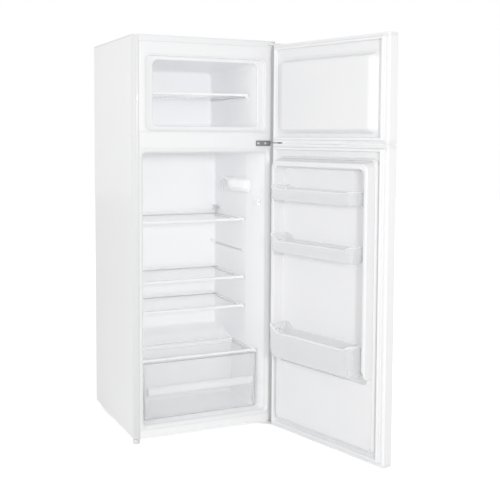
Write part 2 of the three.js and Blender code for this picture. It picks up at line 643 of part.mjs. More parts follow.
// A low plateau that carries an inverted U of ridges; between the ridges a well goes back nearly to the
// door's face.
function fridgePanel(inset) {
  const { crest, base, foot, wellEdge, crestEdge } = ridge;
  const plateau = raised(
    [
      { height: 0, box: [34, 511, 66, 1017], r: 20 },
      { height: base, box: [41, 504, 75, 1007], r: 16 },
    ],
    inset,
  );
  const arch = raised(
    [
      { height: 6, box: [43, 502, 286, 1005], r: [6, 6, 30, 30] },
      { height: crest - 6, box: [45, 500, 298, 1002], r: [6, 6, 30, 30] },
      { height: crest, box: [49, 496, 306, 998], r: [5, 5, 26, 26] },
    ],
    inset,
  );
  const far = door.width;
  const section = (height, edge, low, high, r) => ({
    at: door.inner + height,
    box: faceBox(edge - inset, far - edge + inset, low - inset, high + inset),
    r,
  });
  const well = loft("y", [
    section(foot - inset, wellEdge, 294, 976, 12),
    section(base, wellEdge - 2, 286, 979, 14),
    section(60, crestEdge, 200, 984, 26),
  ]);
  const nearFlare = [[crestEdge, 336], [41, 304], [41, 260]];
  const flare = [...nearFlare, [far - 41, 260], [far - 41, 304], [far - crestEdge, 336]];
  const grown = flare.map(([s, z]) => [along(s < side ? s - inset : s + inset), z + inset]);
  const mouth = extrude("y", polygon(grown.reverse()), door.inner + base - inset, door.inner + 60);
  return cut(join(plateau, arch), well, mouth);
}

// Lugs on the ridges' inner walls, which the bins' end hooks rest on.
function binLugs() {
  const lug = (s0, s1, top) => block(along(s1), along(s0), 43, 57, top - 12, top);
  return bins.flatMap(({ rim }) => [
    lug(55, binEnds - 0.6, rim - 8.5),
    lug(door.width - binEnds + 0.6, door.width - 55, rim - 8.5),
  ]);
}

// A shallow tub between the ridges. Its rim is low along the middle and rises in a curve to an ear at
// each end.
function doorBin({ low, rim, ear, farEar }) {
  const [back, reach] = [29, door.inner + binReach];
  const section = (at, ends, out, shrink) => ({
    at,
    box: [along(door.width - ends) + shrink, back + shrink, along(ends) - shrink, out - shrink],
    r: [4, 4, 18 - shrink, 18 - shrink],
  });
  const tub = cut(
    loft("z", [section(low, binEnds + 4, reach - 6, 0), section(ear, binEnds, reach, 0)]),
    loft("z", [section(low + 2.5, binEnds + 4, reach - 6, 2), section(ear + 1, binEnds, reach, 2)]),
  );
  const lowered = new THREE.Shape()
    .moveTo(along(door.width), ear + 2)
    .lineTo(along(door.width), farEar)
    .lineTo(along(460), farEar)
    .quadraticCurveTo(along(452), rim, along(440), rim)
    .lineTo(along(124), rim)
    .quadraticCurveTo(along(110), rim, along(107), (rim + ear) / 2)
    .quadraticCurveTo(along(104), ear, along(92), ear)
    .lineTo(along(92), ear + 2);
  const hook = (s0, s1) => block(along(s1), along(s0), 44, 56, rim - 8, rim - 4);
  const ends = [hook(66.4, binEnds + 3), hook(door.width - binEnds - 3, door.width - 66.4)];
  return join(cut(tub, extrude("y", lowered, 0, 200, 3)), ...ends);
}

function addDoor(group, prefix, { low, high }, panel, gripEdge, seal, extras = []) {
  add(group, `${prefix}_skin`, doorSkin(low, high), whiteSteel);
  add(group, `${prefix}_top_cap`, endCap(high, 1, gripEdge === "top"), greyPlastic);
  add(group, `${prefix}_bottom_cap`, endCap(low, -1, gripEdge === "bottom"), greyPlastic);

  const { inner, outer, width, cap, plug, liner, sheet } = door;
  const gap = cap + touch;
  const sheetBody = block(along(width - 9), along(9), inner - liner, inner, low + gap, high - gap);
  const shell = cut(join(sheetBody, panel(0), ...extras), panel(liner));
  add(group, `${prefix}_liner`, shell, whitePlastic);

  const wall = sheet + touch;
  const [z0, z1] = [low + cap + plug + touch, high - cap - plug - touch];
  const back = inner - liner - touch;
  const outline = roundedRect(along(width) + wall, outer + wall, along(0) - wall, back, [5, 5, 3, 3]);
  const core = extrude("z", outline, z0, z1, 3);
  add(group, `${prefix}_foam`, join(core, cut(panel(liner + touch), ...beyondCore(z0, z1))), foam);
  add(group, `${prefix}_gasket`, gasketRing(...seal), rubber);
}

// The space above and below a door's foam core, which its raised part stays out of.
const beyondCore = (z0, z1) => [
  block(along(door.width), along(0), 0, door.inner + 80, z0 - 200, z0),
  block(along(door.width), along(0), 0, door.inner + 80, z1, z1 + 200),
];

function doorGroup() {
  const group = new THREE.Group();
  group.position.set(pinX, -hinge.ahead, 0);
  group.rotation.z = openAngle;
  return group;
}

// ---------------------------------------------------------------- the refrigerator
const refrigerator = new THREE.Group();
const body = new THREE.Group();
body.position.set(0, -cabinet.depth / 2, -footRise);
refrigerator.add(body);

addShell(body);
addLiners(body);
addFoam(body);
addHinges(body);
addFeet(body);
addMachinery(body);
addLight(body);
addShelves(body);
addCrisper(body);

const upperDoor = doorGroup();
addDoor(upperDoor, "freezer_door", freezerDoor, freezerPanel, "bottom", [1073, 1402]);
body.add(upperDoor);

const lowerDoor = doorGroup();
addDoor(lowerDoor, "fridge_door", fridgeDoor, fridgePanel, "top", [42, 1050], binLugs());
for (const bin of bins) add(lowerDoor, bin.name, doorBin(bin), clearPlastic);
body.add(lowerDoor);

export default refrigerator;
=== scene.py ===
"""A two-door refrigerator with its freezer on top, both doors open, dressed around its construction model.

Lengths are millimetres. In the cabinet's own axes x runs to the right, y back from the front plane and z up.
In a door's axes s runs from the hinge edge to the free edge, h up from the inner face and z up.
"""
import json
import math

import bmesh
import bpy
import numpy as np
from mathutils import Matrix, Vector


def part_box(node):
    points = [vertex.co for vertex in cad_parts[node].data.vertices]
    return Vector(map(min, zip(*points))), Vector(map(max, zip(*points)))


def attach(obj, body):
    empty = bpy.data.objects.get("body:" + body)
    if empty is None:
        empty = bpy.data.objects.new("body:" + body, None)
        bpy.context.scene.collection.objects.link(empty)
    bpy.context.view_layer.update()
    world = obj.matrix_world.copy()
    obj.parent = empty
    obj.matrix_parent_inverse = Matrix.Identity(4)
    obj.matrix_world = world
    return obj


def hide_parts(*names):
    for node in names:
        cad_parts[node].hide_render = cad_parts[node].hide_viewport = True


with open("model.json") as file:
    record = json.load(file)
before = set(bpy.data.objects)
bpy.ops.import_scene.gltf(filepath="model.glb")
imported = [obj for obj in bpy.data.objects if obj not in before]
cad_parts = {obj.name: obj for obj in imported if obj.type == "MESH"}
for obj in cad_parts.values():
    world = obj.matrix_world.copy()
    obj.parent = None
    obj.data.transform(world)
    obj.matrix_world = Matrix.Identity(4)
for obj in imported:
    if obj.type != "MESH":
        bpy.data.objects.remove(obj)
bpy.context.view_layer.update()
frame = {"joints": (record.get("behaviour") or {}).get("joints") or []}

# ---------------------------------------------------------------- places taken from the frame
MM = 0.001
PANEL_LOW, PANEL_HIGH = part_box("side_panel_left")
PANEL_FOOT = 30  # height of the side panels' lower edge in the cabinet's axes
CABINET_ZERO = np.array([0.0, PANEL_LOW.y, PANEL_LOW.z - PANEL_FOOT * MM])
SIDE = -PANEL_LOW.x / MM  # half the cabinet's width
DEPTH = (PANEL_HIGH.y - PANEL_LOW.y) / MM
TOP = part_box("top_cover")[1].z / MM - CABINET_ZERO[2] / MM

JOINTS = {joint["name"]: joint for joint in frame["joints"]}
DOOR_JOINT = JOINTS["fridge_door_hinge"]
PIN = np.array(DOOR_JOINT["pos_m"][:2])
OPEN = math.radians(-DOOR_JOINT["range_deg"][0])  # how far the doors stand open
PIN_INSET = SIDE - PIN[0] / MM  # the pin's distance from the door's hinge edge
DOOR_INNER = 25  # from the pin to the door's inner face
DOOR_OUTER = -15  # from the pin to its outer face
DOOR_WIDTH = 2 * SIDE


def extent(node):
    """A node's lowest and highest corner in the cabinet's axes, to a tenth of a millimetre."""
    return np.round((np.array(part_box(node)) - CABINET_ZERO) / MM, 1).tolist()


def in_cabinet(points):
    """Points (x, y, z) in the cabinet's axes, as metres in the frame."""
    return np.asarray(points, float) * MM + CABINET_ZERO


def in_door(points):
    """Points (s, h, z) of an open door, as metres in the frame: turned about the hinge pin."""
    s, h, z = np.moveaxis(np.asarray(points, float), -1, 0)
    across, out = (PIN_INSET - s) * MM, (DOOR_INNER + h) * MM
    x = PIN[0] + math.cos(OPEN) * across - math.sin(OPEN) * out
    y = PIN[1] + math.sin(OPEN) * across + math.cos(OPEN) * out
    return np.stack([x, y, z * MM + CABINET_ZERO[2]], -1)


# ---------------------------------------------------------------- outlines and surfaces
POLE = 0.01  # radius of the ring that closes a turned shape on its axis


def smooth(value, low, high):
    """0 below low, 1 above high and a cubic ramp between them."""
    t = np.clip((np.asarray(value, float) - low) / (high - low), 0, 1)
    return t * t * (3 - 2 * t)


def rounded(u0, v0, u1, v1, radius, steps=6, runs=(0, 0)):
    """An anticlockwise rectangle with quarter-circle corners and `runs` more points on each pair of sides."""
    r = np.broadcast_to(np.asarray(radius, float), 4)
    low_centres = [[u0 + r[0], v0 + r[0]], [u1 - r[1], v0 + r[1]]]
    centres = np.array(low_centres + [[u1 - r[2], v1 - r[2]], [u0 + r[3], v1 - r[3]]])
    turn = np.radians(np.linspace(0, 90, steps + 1))
    points = []
    for i, start in enumerate((180, 270, 0, 90)):
        angle = turn + math.radians(start)
        arc = centres[i] + r[i] * np.stack([np.cos(angle), np.sin(angle)], -1)
        after = (i + 1) % 4
        first = centres[after] + r[after] * np.array([math.cos(angle[-1]), math.sin(angle[-1])])
        share = np.linspace(0, 1, runs[i % 2] + 2)[1:-1, None]
        points += [arc, arc[-1] * (1 - share) + first * share]
    return np.concatenate(points)


def unit(vectors):
    """Vectors scaled to length 1."""
    return vectors / np.maximum(np.linalg.norm(vectors, axis=1, keepdims=True), 1e-9)


def softened(points, reach, steps=4):
    """A closed line whose corners give way to parabolas that start and end `reach` from each corner."""
    points = np.asarray(points, float)
    reach = np.broadcast_to(np.asarray(reach, float), len(points))[:, None]
    start = points + unit(np.roll(points, 1, 0) - points) * reach
    end = points + unit(np.roll(points, -1, 0) - points) * reach
    t = np.linspace(0, 1, steps + 1)[None, :, None]
    bend = (1 - t) ** 2 * start[:, None] + 2 * t * (1 - t) * points[:, None] + t**2 * end[:, None]
    return bend.reshape(-1, points.shape[1])


def arc(u, v, radius, start, end, steps=12):
    """Points on a circle about (u, v) from one angle to another, in degrees."""
    angle = np.radians(np.linspace(start, end, steps + 1))
    return np.stack([u + radius * np.cos(angle), v + radius * np.sin(angle)], -1)


def level(outline, at, axis="z"):
    """An outline (u, v) laid across the axis at one place on it."""
    return np.insert(np.asarray(outline, float), "xyz".index(axis), at, axis=1)


def lattice(rings, line_closed=False):
    """Quads between m closed rings with n points each, and from last to first where the line is closed."""
    m, n = rings.shape[:2]
    i = np.arange(m if line_closed else m - 1)[:, None]
    j = np.arange(n)[None, :]
    a, b = i * n + j, i * n + (j + 1) % n
    c, d = (i + 1) % m * n + (j + 1) % n, (i + 1) % m * n + j
    return np.stack([a, b, c, d], -1).reshape(-1, 4)


def tube(rings):
    """A closed solid through a pile of rings, with a flat lid on the first and the last."""
    rings = np.asarray(rings, float)
    m, n = rings.shape[:2]
    faces = lattice(rings).tolist()
    faces += [list(range(n))[::-1], list(range((m - 1) * n, m * n))]
    return rings.reshape(-1, 3), faces


def hoop(rings):
    """A closed solid whose section runs once round a closed line."""
    rings = np.asarray(rings, float)
    return rings.reshape(-1, 3), lattice(rings, line_closed=True).tolist()


def plate(outline, low, high, axis="z", edge=0.0):
    """A plate whose rims are quarter circles of radius `edge`: outline(inset) at the height of each inset."""
    if edge <= 0:
        return tube([level(outline(0), at, axis) for at in (low, high)])
    angle = np.radians([0, 30, 60, 90])
    inset, rise = edge * (1 - np.sin(angle)), edge * (1 - np.cos(angle))
    lower = [level(outline(i), low + h, axis) for i, h in zip(inset, rise)]
    upper = [level(outline(i), high - h, axis) for i, h in zip(inset[::-1], rise[::-1])]
    return tube(lower + upper)


def brick(x0, x1, y0, y1, z0, z1, edge=0.0, corner=0.0):
    """A block whose upright edges have a radius and whose rims are rounded."""

    def outline(inset):
        """The plan, drawn in by the inset."""
        return rounded(x0 + inset, y0 + inset, x1 - inset, y1 - inset, max(corner - inset, 0.01), 3)

    return plate(outline, z0, z1, edge=edge)


def bar(outline, x0, x1, axis="x", edge=0.0):
    """An outline carried along an axis; `edge` draws its two ends in towards its middle."""
    outline = np.asarray(outline, float)
    if edge <= 0:
        return tube([level(outline, x0, axis), level(outline, x1, axis)])
    along = np.roll(outline, -1, 0) - np.roll(outline, 1, 0)
    inward = unit(np.stack([-along[:, 1], along[:, 0]], -1))
    area = np.sum(outline[:, 0] * np.roll(outline[:, 1], -1) - np.roll(outline[:, 0], -1) * outline[:, 1])
    drawn = outline + inward * edge * math.copysign(1, area)
    places = [(drawn, x0), (outline, x0 + edge), (outline, x1 - edge), (drawn, x1)]
    return tube([level(line, at, axis) for line, at in places])


def turned(profile, centre, axis="z", steps=32):
    """A profile (radius, place on the axis) turned once about an axis through `centre`."""
    profile = np.asarray(profile, float)
    angle = np.linspace(0, 2 * math.pi, steps, endpoint=False)
    circle = np.stack([np.cos(angle), np.sin(angle)], -1)
    rings = [level(circle * r, at, axis) for r, at in profile]
    return tube(np.array(rings) + np.asarray(centre, float))


ASKEW = (0.3, 0.9, 0.1)  # a direction that no pipe runs along


def pipe(path, radius, sides=16):
    """A round tube along a line of points: circles across the line's direction at each point."""
    path = np.asarray(path, float)
    ahead = unit(np.gradient(path, axis=0))
    across = unit(np.cross(ahead, ASKEW))
    over = np.cross(ahead, across)
    angle = np.linspace(0, 2 * math.pi, sides, endpoint=False)[None, :, None]
    return tube(path[:, None] + radius * (across[:, None] * np.cos(angle) + over[:, None] * np.sin(angle)))


def curve_through(points, steps=8):
    """A smooth line through the points: a Catmull-Rom cubic between each pair."""
    p = np.asarray(points, float)
    p = np.concatenate([2 * p[:1] - p[1:2], p, 2 * p[-1:] - p[-2:-1]])
    t = np.linspace(0, 1, steps, endpoint=False)[None, :, None]
    a, b, c, d = (p[i : len(p) - 3 + i, None] for i in range(4))
    line = 0.5 * (2 * b + (c - a) * t + (2 * a - 5 * b + 4 * c - d) * t**2 + (3 * b - a - 3 * c + d) * t**3)
    return np.concatenate([line.reshape(-1, p.shape[1]), p[-2:-1]])


# ---------------------------------------------------------------- pieces
def piece(name, body, slot, material, parts, nodes=(), place=in_cabinet, crease=32, wall=0.0):
    """A finished mesh: parts joined, doubles merged, faces turned outwards, smooth up to `crease` degrees.

    A part is (points, faces) or (points, faces, rim), where rim is 1 on the cut edges of clear stock. `wall`
    gives an open sheet its thickness, in front of its faces, or behind them where it is negative.
    """
    points, faces, rims, start = [], [], [], 0
    for verts, quads, *rim in parts:
        points.append(place(verts))
        faces += [[index + start for index in face] for face in quads]
        rims.append(rim[0] if rim else np.zeros(len(verts)))
        start += len(verts)
    mesh = bpy.data.meshes.new(name)
    mesh.from_pydata(np.concatenate(points).tolist(), [], faces)
    mesh.attributes.new("rim", "FLOAT", "POINT").data.foreach_set("value", np.concatenate(rims))
    shaped = bmesh.new()
    shaped.from_mesh(mesh)
    bmesh.ops.remove_doubles(shaped, verts=shaped.verts, dist=1e-6)
    bmesh.ops.dissolve_degenerate(shaped, edges=shaped.edges, dist=1e-6)
    bmesh.ops.recalc_face_normals(shaped, faces=shaped.faces)
    shaped.to_mesh(mesh)
    shaped.free()
    mesh.shade_smooth()
    mesh.set_sharp_from_angle(angle=math.radians(crease))
    made = bpy.data.objects.new(name, mesh)
    bpy.context.scene.collection.objects.link(made)
    made.data.materials.append(material)
    if wall:
        thick = made.modifiers.new("wall", "SOLIDIFY")
        thick.thickness = wall * MM
        thick.offset = 1
        thick.use_even_offset = False
    flats = made.modifiers.new("flats stay flat", "WEIGHTED_NORMAL")
    flats.keep_sharp = True
    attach(made, body)
    if nodes:
        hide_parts(*nodes)
    return made


# ---------------------------------------------------------------- shader node groups
def shader_group(name, inputs, outputs):
    """An empty node group with named float, colour or vector sockets; returns it with its two end nodes."""
    group = bpy.data.node_groups.new(name, "ShaderNodeTree")
    for kind, sockets in (("INPUT", inputs), ("OUTPUT", outputs)):
        for label, value in sockets.items():
            form = "NodeSocketFloat" if isinstance(value, (int, float)) else "NodeSocketColor"
            form = "NodeSocketVector" if value == "vector" else form
            socket = group.interface.new_socket(label, in_out=kind, socket_type=form)
            if kind == "INPUT" and value != "vector":
                socket.default_value = value
    return group, group.nodes.new("NodeGroupInput"), group.nodes.new("NodeGroupOutput")


def wire(tree, kind, settings=None, **sockets):
    """Adds a node, sets its properties, and fills its inputs from values or other nodes' outputs.

    An input is named by its label, with _ for a space, or by its number, as i0.
    """
    node = tree.nodes.new(kind)
    for key, value in (settings or {}).items():
        setattr(node, key, value)
    for key, value in sockets.items():
        numbered = key[0] == "i" and key[1:].isdigit()
        slot = node.inputs[int(key[1:]) if numbered else key.replace("_", " ")]
        if isinstance(value, bpy.types.NodeSocket):
            tree.links.new(value, slot)
        else:
            slot.default_value = value
    return node


def blended(tree, share, first, second):
    """The colour between two colours."""
    node = wire(tree, "ShaderNodeMix", {"data_type": "RGBA"}, i0=share, i6=first, i7=second)
    return node.outputs[2]


def reckoned(tree, operation, *values):
    """The result of a Math node."""
    inputs = {f"i{number}": value for number, value in enumerate(values)}
    return wire(tree, "ShaderNodeMath", {"operation": operation}, **inputs).outputs[0]


def ranged(tree, value, low, high, to_low, to_high):
    """A value moved from one range to another and kept inside it."""
    return wire(tree, "ShaderNodeMapRange", None, i0=value, i1=low, i2=high, i3=to_low, i4=to_high).outputs[0]


def moulded_group():
    """Moulded or sprayed skin: broad drifts of tone, a fine pebble or orange-peel relief and uneven gloss."""
    inputs = {"Colour": (0.9, 0.9, 0.9, 1), "Shade": (0.85, 0.85, 0.85, 1), "Drift": 6.0, "Cells": 600.0}
    inputs |= {"Relief": 0.00002, "Roughness": 0.3, "Spread": 0.06}
    outputs = {"Colour": (0, 0, 0, 1), "Roughness": 0.0, "Normal": "vector"}
    group, given, result = shader_group("moulded skin", inputs, outputs)
    place = wire(group, "ShaderNodeTexCoord").outputs["Object"]
    broad = wire(group, "ShaderNodeTexNoise", None, Vector=place, Scale=given.outputs["Drift"], Detail=3.0)
    tone = ranged(group, broad.outputs["Fac"], 0.35, 0.7, 0.0, 1.0)
    colour = blended(group, tone, given.outputs["Colour"], given.outputs["Shade"])
    cells = wire(group, "ShaderNodeTexNoise", None, Vector=place, Scale=given.outputs["Cells"], Detail=1.0)
    relief = wire(group, "ShaderNodeBump", None, Height=cells.outputs[0], Distance=given.outputs["Relief"])
    patch = wire(group, "ShaderNodeTexNoise", None, Vector=place, Scale=38.0, Detail=4.0)
    swing = ranged(group, patch.outputs["Fac"], 0.3, 0.7, -1.0, 1.0)
    gloss = reckoned(group, "MULTIPLY_ADD", swing, given.outputs["Spread"], given.outputs["Roughness"])
    group.links.new(colour, result.inputs["Colour"])
    group.links.new(gloss, result.inputs["Roughness"])
    group.links.new(relief.outputs["Normal"], result.inputs["Normal"])
    return group


DUST_COLOUR = (0.42, 0.4, 0.37, 1)


def dust_group():
    """Settled dust: a mask that grows where a surface faces up and breaks up with fine noise."""
    group, given, result = shader_group(
        "settled dust", {"Colour": (0.1, 0.1, 0.1, 1), "Amount": 0.3}, {"Colour": (0, 0, 0, 1), "Mask": 0.0}
    )
    normal = wire(group, "ShaderNodeNewGeometry").outputs["Normal"]
    upward = wire(group, "ShaderNodeSeparateXYZ", None, Vector=normal).outputs["Z"]
    facing = ranged(group, upward, 0.1, 1.0, 0.15, 1.0)
    place = wire(group, "ShaderNodeTexCoord").outputs["Object"]
    speck = wire(group, "ShaderNodeTexNoise", None, Vector=place, Scale=90.0, Detail=6.0).outputs["Fac"]
    broken = ranged(group, speck, 0.35, 0.75, 0.0, 1.0)
    mask = reckoned(group, "MULTIPLY", reckoned(group, "MULTIPLY", facing, broken), given.outputs["Amount"])
    group.links.new(blended(group, mask, given.outputs["Colour"], DUST_COLOUR), result.inputs["Colour"])
    group.links.new(mask, result.inputs["Mask"])
    return group


def drawn_group():
    """Extruded or rolled stock: fine lines along X, as a normal and as a mask."""
    group, given, result = shader_group(
        "drawn lines", {"Lines": 900.0, "Relief": 0.00001}, {"Mask": 0.0, "Normal": "vector"}
    )
    place = wire(group, "ShaderNodeTexCoord").outputs["Object"]
    stretched = wire(group, "ShaderNodeMapping", None, Vector=place, Scale=(0.02, 1.0, 1.0)).outputs[0]
    scale, depth = given.outputs["Lines"], given.outputs["Relief"]
    lines = wire(group, "ShaderNodeTexNoise", None, Vector=stretched, Scale=scale, Detail=2.0).outputs["Fac"]
    relief = wire(group, "ShaderNodeBump", None, Height=lines, Distance=depth)
    group.links.new(lines, result.inputs["Mask"])
    group.links.new(relief.outputs["Normal"], result.inputs["Normal"])
    return group


MOULDED, DUST, DRAWN = moulded_group(), dust_group(), drawn_group()


# ---------------------------------------------------------------- materials
def new_material(name, **fixed):
    """A material with a Principled shader whose plain sockets hold the fixed values."""
    material = bpy.data.materials.new(name)
    material.use_nodes = True
    tree = material.node_tree
    shader = tree.nodes["Principled BSDF"]
    for key, value in fixed.items():
        shader.inputs[key.replace("_", " ")].default_value = value
    return material, tree, shader


def use_group(tree, group, **sockets):
    """Places a node group in a material and fills its inputs."""
    return wire(tree, "ShaderNodeGroup", {"node_tree": group}, **sockets)


def skin(name, colour, shade, roughness, cells, relief, drift=5.0, spread=0.05, dust=0.0, **fixed):
    """A moulded or painted finish, with a little dust where `dust` is above 0; `relief` is in millimetres."""
    material, tree, shader = new_material(name, **fixed)
    coat = use_group(
        tree, MOULDED, Colour=(*colour, 1), Shade=(*shade, 1), Drift=drift, Cells=cells, Relief=relief * MM,
        Roughness=roughness, Spread=spread,
    )
    base = coat.outputs["Colour"]
    if dust > 0:
        base = use_group(tree, DUST, Colour=base, Amount=dust).outputs["Colour"]
    tree.links.new(base, shader.inputs["Base Color"])
    tree.links.new(coat.outputs["Roughness"], shader.inputs["Roughness"])
    tree.links.new(coat.outputs["Normal"], shader.inputs["Normal"])
    return material


def enamel(name, tone):
    """White stoving enamel on sheet steel: faint orange peel about 1.5 mm across under a clear gloss."""
    colour, shade = (tone, tone + 0.001, tone + 0.002), (tone - 0.015, tone - 0.013, tone - 0.01)
    return skin(name, colour, shade, 0.37, cells=700.0, relief=0.01, drift=2.0, spread=0.03, Coat_Weight=0.2)


def liner_plastic(name, tone):
    """Vacuum-formed polystyrene: cooler white, soft gloss, shallow waves from the forming tool."""
    colour, shade = (tone, tone, tone + 0.006), (tone - 0.01, tone - 0.008, tone)
    return skin(name, colour, shade, 0.37, cells=160.0, relief=0.03, drift=4.0, spread=0.03)


def greyed(material, share, grey):
    """Blends a material's base colour with a grey by a share that changes over the surface."""
    tree = material.node_tree
    shader = tree.nodes["Principled BSDF"]
    clean = shader.inputs["Base Color"].links[0].from_socket
    tree.links.new(blended(tree, share, clean, (*grey, 1)), shader.inputs["Base Color"])
    return material


def painted_shade_front(material, grey, near, far):
    """Paints shade on a material towards the cabinet's front: grey not at all at depth `far`, fully at
    `near`.
    """
    tree = material.node_tree
    place = wire(tree, "ShaderNodeTexCoord").outputs["Object"]
    depth = wire(tree, "ShaderNodeSeparateXYZ", None, Vector=place).outputs["Y"]
    front = PANEL_LOW.y
    return greyed(material, ranged(tree, depth, front + near * MM, front + far * MM, 1.0, 0.0), grey)


def painted_shade_doors(material, grey):
    """Paints shade on the doors' outer faces: grey by the distance from the pin along their normal."""
    tree = material.node_tree
    place = wire(tree, "ShaderNodeTexCoord").outputs["Object"]
    outward = (math.sin(OPEN), -math.cos(OPEN), 0)
    difference, product = {"operation": "SUBTRACT"}, {"operation": "DOT_PRODUCT"}
    from_pin = wire(tree, "ShaderNodeVectorMath", difference, i0=place, i1=(*PIN, 0)).outputs["Vector"]
    across = wire(tree, "ShaderNodeVectorMath", product, i0=from_pin, i1=outward).outputs["Value"]
    start, end = -DOOR_OUTER - 4.5, -DOOR_OUTER - 0.5  # the painted shade comes in along the rounded edges
    return greyed(material, ranged(tree, across, start * MM, end * MM, 0.0, 1.0), grey)


def trim_plastic():
    """Extruded white trim: lines along its length."""
    material, tree, shader = new_material("white trim", Roughness=0.34)
    lines = use_group(tree, DRAWN, Lines=1400.0, Relief=0.01 * MM)
    colour = blended(tree, lines.outputs["Mask"], (0.9, 0.905, 0.91, 1), (0.86, 0.87, 0.88, 1))
    tree.links.new(colour, shader.inputs["Base Color"])
    tree.links.new(lines.outputs["Normal"], shader.inputs["Normal"])
    return material


def see_through(name, colour, rim, clear, facing, roughness, relief=0.01, cells=300.0):
    """Clear sheet or moulding: mostly open face on, more solid at grazing angles and along its cut rims.

    Its cover goes from `clear`, face on, to `facing`, edge on. Points with the attribute `rim` at 1 lie on a
    cut edge, where light gathers in the sheet.
    """
    material, tree, shader = new_material(name, IOR=1.49)
    sheet = use_group(
        tree, MOULDED, Colour=(*colour, 1), Shade=(*colour, 1), Cells=cells, Relief=relief * MM,
        Roughness=roughness, Spread=0.02,
    )
    edge = wire(tree, "ShaderNodeAttribute", {"attribute_name": "rim"}).outputs["Fac"]
    tree.links.new(blended(tree, edge, sheet.outputs["Colour"], (*rim, 1)), shader.inputs["Base Color"])
    glancing = wire(tree, "ShaderNodeLayerWeight", None, Blend=0.35).outputs["Facing"]
    cover = ranged(tree, glancing, 0.1, 1.0, clear, facing)
    tree.links.new(reckoned(tree, "MAXIMUM", cover, edge), shader.inputs["Alpha"])
    tree.links.new(sheet.outputs["Roughness"], shader.inputs["Roughness"])
    tree.links.new(sheet.outputs["Normal"], shader.inputs["Normal"])
    return material


def metal(name, colour, shade, roughness, cells, dust):
    """Bare or plated metal: patches like crystals in the plating shift its colour and gloss."""
    material, tree, shader = new_material(name, Metallic=1.0)
    place = wire(tree, "ShaderNodeTexCoord").outputs["Object"]
    patches = wire(tree, "ShaderNodeTexVoronoi", None, Vector=place, Scale=cells)
    tint = wire(tree, "ShaderNodeSeparateColor", None, Color=patches.outputs["Color"]).outputs[0]
    base = blended(tree, tint, (*colour, 1), (*shade, 1))
    base = use_group(tree, DUST, Colour=base, Amount=dust).outputs["Colour"]
    tree.links.new(base, shader.inputs["Base Color"])
    tree.links.new(ranged(tree, tint, 0, 1, roughness - 0.06, roughness + 0.1), shader.inputs["Roughness"])
    brushed = use_group(tree, DRAWN, Lines=2500.0, Relief=0.004 * MM)
    tree.links.new(brushed.outputs["Normal"], shader.inputs["Normal"])
    return material


def lens_plastic():
    """Milky lamp cover with fine upright flutes."""
    material, tree, shader = new_material("lamp cover", Roughness=0.22, Emission_Strength=0.2)
    place = wire(tree, "ShaderNodeTexCoord").outputs["Object"]
    wave = {"bands_direction": "Y", "wave_profile": "SIN"}
    flutes = wire(tree, "ShaderNodeTexWave", wave, Vector=place, Scale=95.0, Distortion=0.0).outputs["Fac"]
    milk = blended(tree, flutes, (0.93, 0.94, 0.95, 1), (0.87, 0.89, 0.91, 1))
    tree.links.new(milk, shader.inputs["Base Color"])
    tree.links.new(milk, shader.inputs["Emission Color"])
    bump = wire(tree, "ShaderNodeBump", None, Height=flutes, Distance=0.4 * MM)
    tree.links.new(bump.outputs["Normal"], shader.inputs["Normal"])
    return material


# Steel and linings: white, with painted light on the sides and painted shade towards the cabinet's front and
# on the doors.
ENAMEL = enamel("white enamel", 0.885)
# the sides' enamel is painted lighter than the other white enamel, and painted shade greys their rounded
# front corners
SIDE_ENAMEL_LIT_SHADED = painted_shade_front(enamel("white enamel sides with painted light and shade", 0.93), (0.68, 0.682, 0.686), 8, 19)
# painted shade greys the doors' outer faces and their rounded edges
DOOR_ENAMEL_SHADED = painted_shade_doors(enamel("white enamel doors with painted shade", 0.885), (0.76, 0.762, 0.767))
# painted shade greys the liner's front flange, its lips and the crossrail
LINER = painted_shade_front(liner_plastic("cabinet liner with painted shade at the front", 0.96), (0.815, 0.817, 0.823), 12, 22)
# the doors' lining is the same plastic as the cabinet's, painted darker as shade
DOOR_LINER_SHADED = liner_plastic("door liner painted darker as shade", 0.805)

# Mouldings: a fine leather grain on the grey ones, a finer one on the doors' caps, matt vinyl on the seals.
TRIM, LENS = trim_plastic(), lens_plastic()
LEATHER_GRAIN = {"roughness": 0.45, "cells": 1500.0, "relief": 0.04, "drift": 8.0, "spread": 0.06}
GRAINED = skin("grained grey plastic", (0.8, 0.805, 0.812), (0.78, 0.785, 0.794), **LEATHER_GRAIN)
# the feet's grey is painted shade, the tone of a foot standing in the cabinet's shadow
FOOT_PLASTIC_SHADED = skin("foot plastic painted grey as shade", (0.74, 0.743, 0.75), (0.72, 0.723, 0.73), **LEATHER_GRAIN)
CAPS = skin("white moulded caps", (0.85, 0.853, 0.858), (0.83, 0.833, 0.84), 0.42, 1500.0, 0.03, 8.0, 0.05)
VINYL = {"roughness": 0.55, "cells": 900.0, "relief": 0.02, "drift": 12.0, "spread": 0.06}
SEAL = skin("seal vinyl", (0.84, 0.842, 0.846), (0.825, 0.827, 0.832), **VINYL, Sheen_Weight=0.1)
DUSTY_GRAIN = {"roughness": 0.5, "cells": 1400.0, "relief": 0.05, "drift": 9.0, "spread": 0.08, "dust": 0.35}
BLACK_PLASTIC = skin("black plastic", (0.025, 0.025, 0.026), (0.04, 0.04, 0.041), **DUSTY_GRAIN)

# Glass and clear mouldings: colour, colour of the cut rims, cover face on and edge on, roughness, waves.
GLASS = see_through("shelf glass", (0.96, 0.97, 0.97), (0.6, 0.65, 0.645), 0.03, 0.14, 0.05)
CLEAR_GREY = (0.955, 0.955, 0.965)
DRAWER = see_through("drawer plastic", CLEAR_GREY, (0.93, 0.935, 0.945), 0.14, 0.45, 0.14, 0.06, 120.0)
DRAWER_FACE = see_through("drawer front", CLEAR_GREY, (0.3, 0.31, 0.33), 0.12, 0.4, 0.14, 0.04, 120.0)
BIN = see_through("bin plastic", (0.895, 0.898, 0.91), (0.91, 0.915, 0.925), 0.25, 0.56, 0.14, 0.06, 120.0)
BULB = skin("bulb glass", (0.93, 0.92, 0.88), (0.9, 0.89, 0.85), 0.1, 40.0, 0.01, 30.0, 0.02)

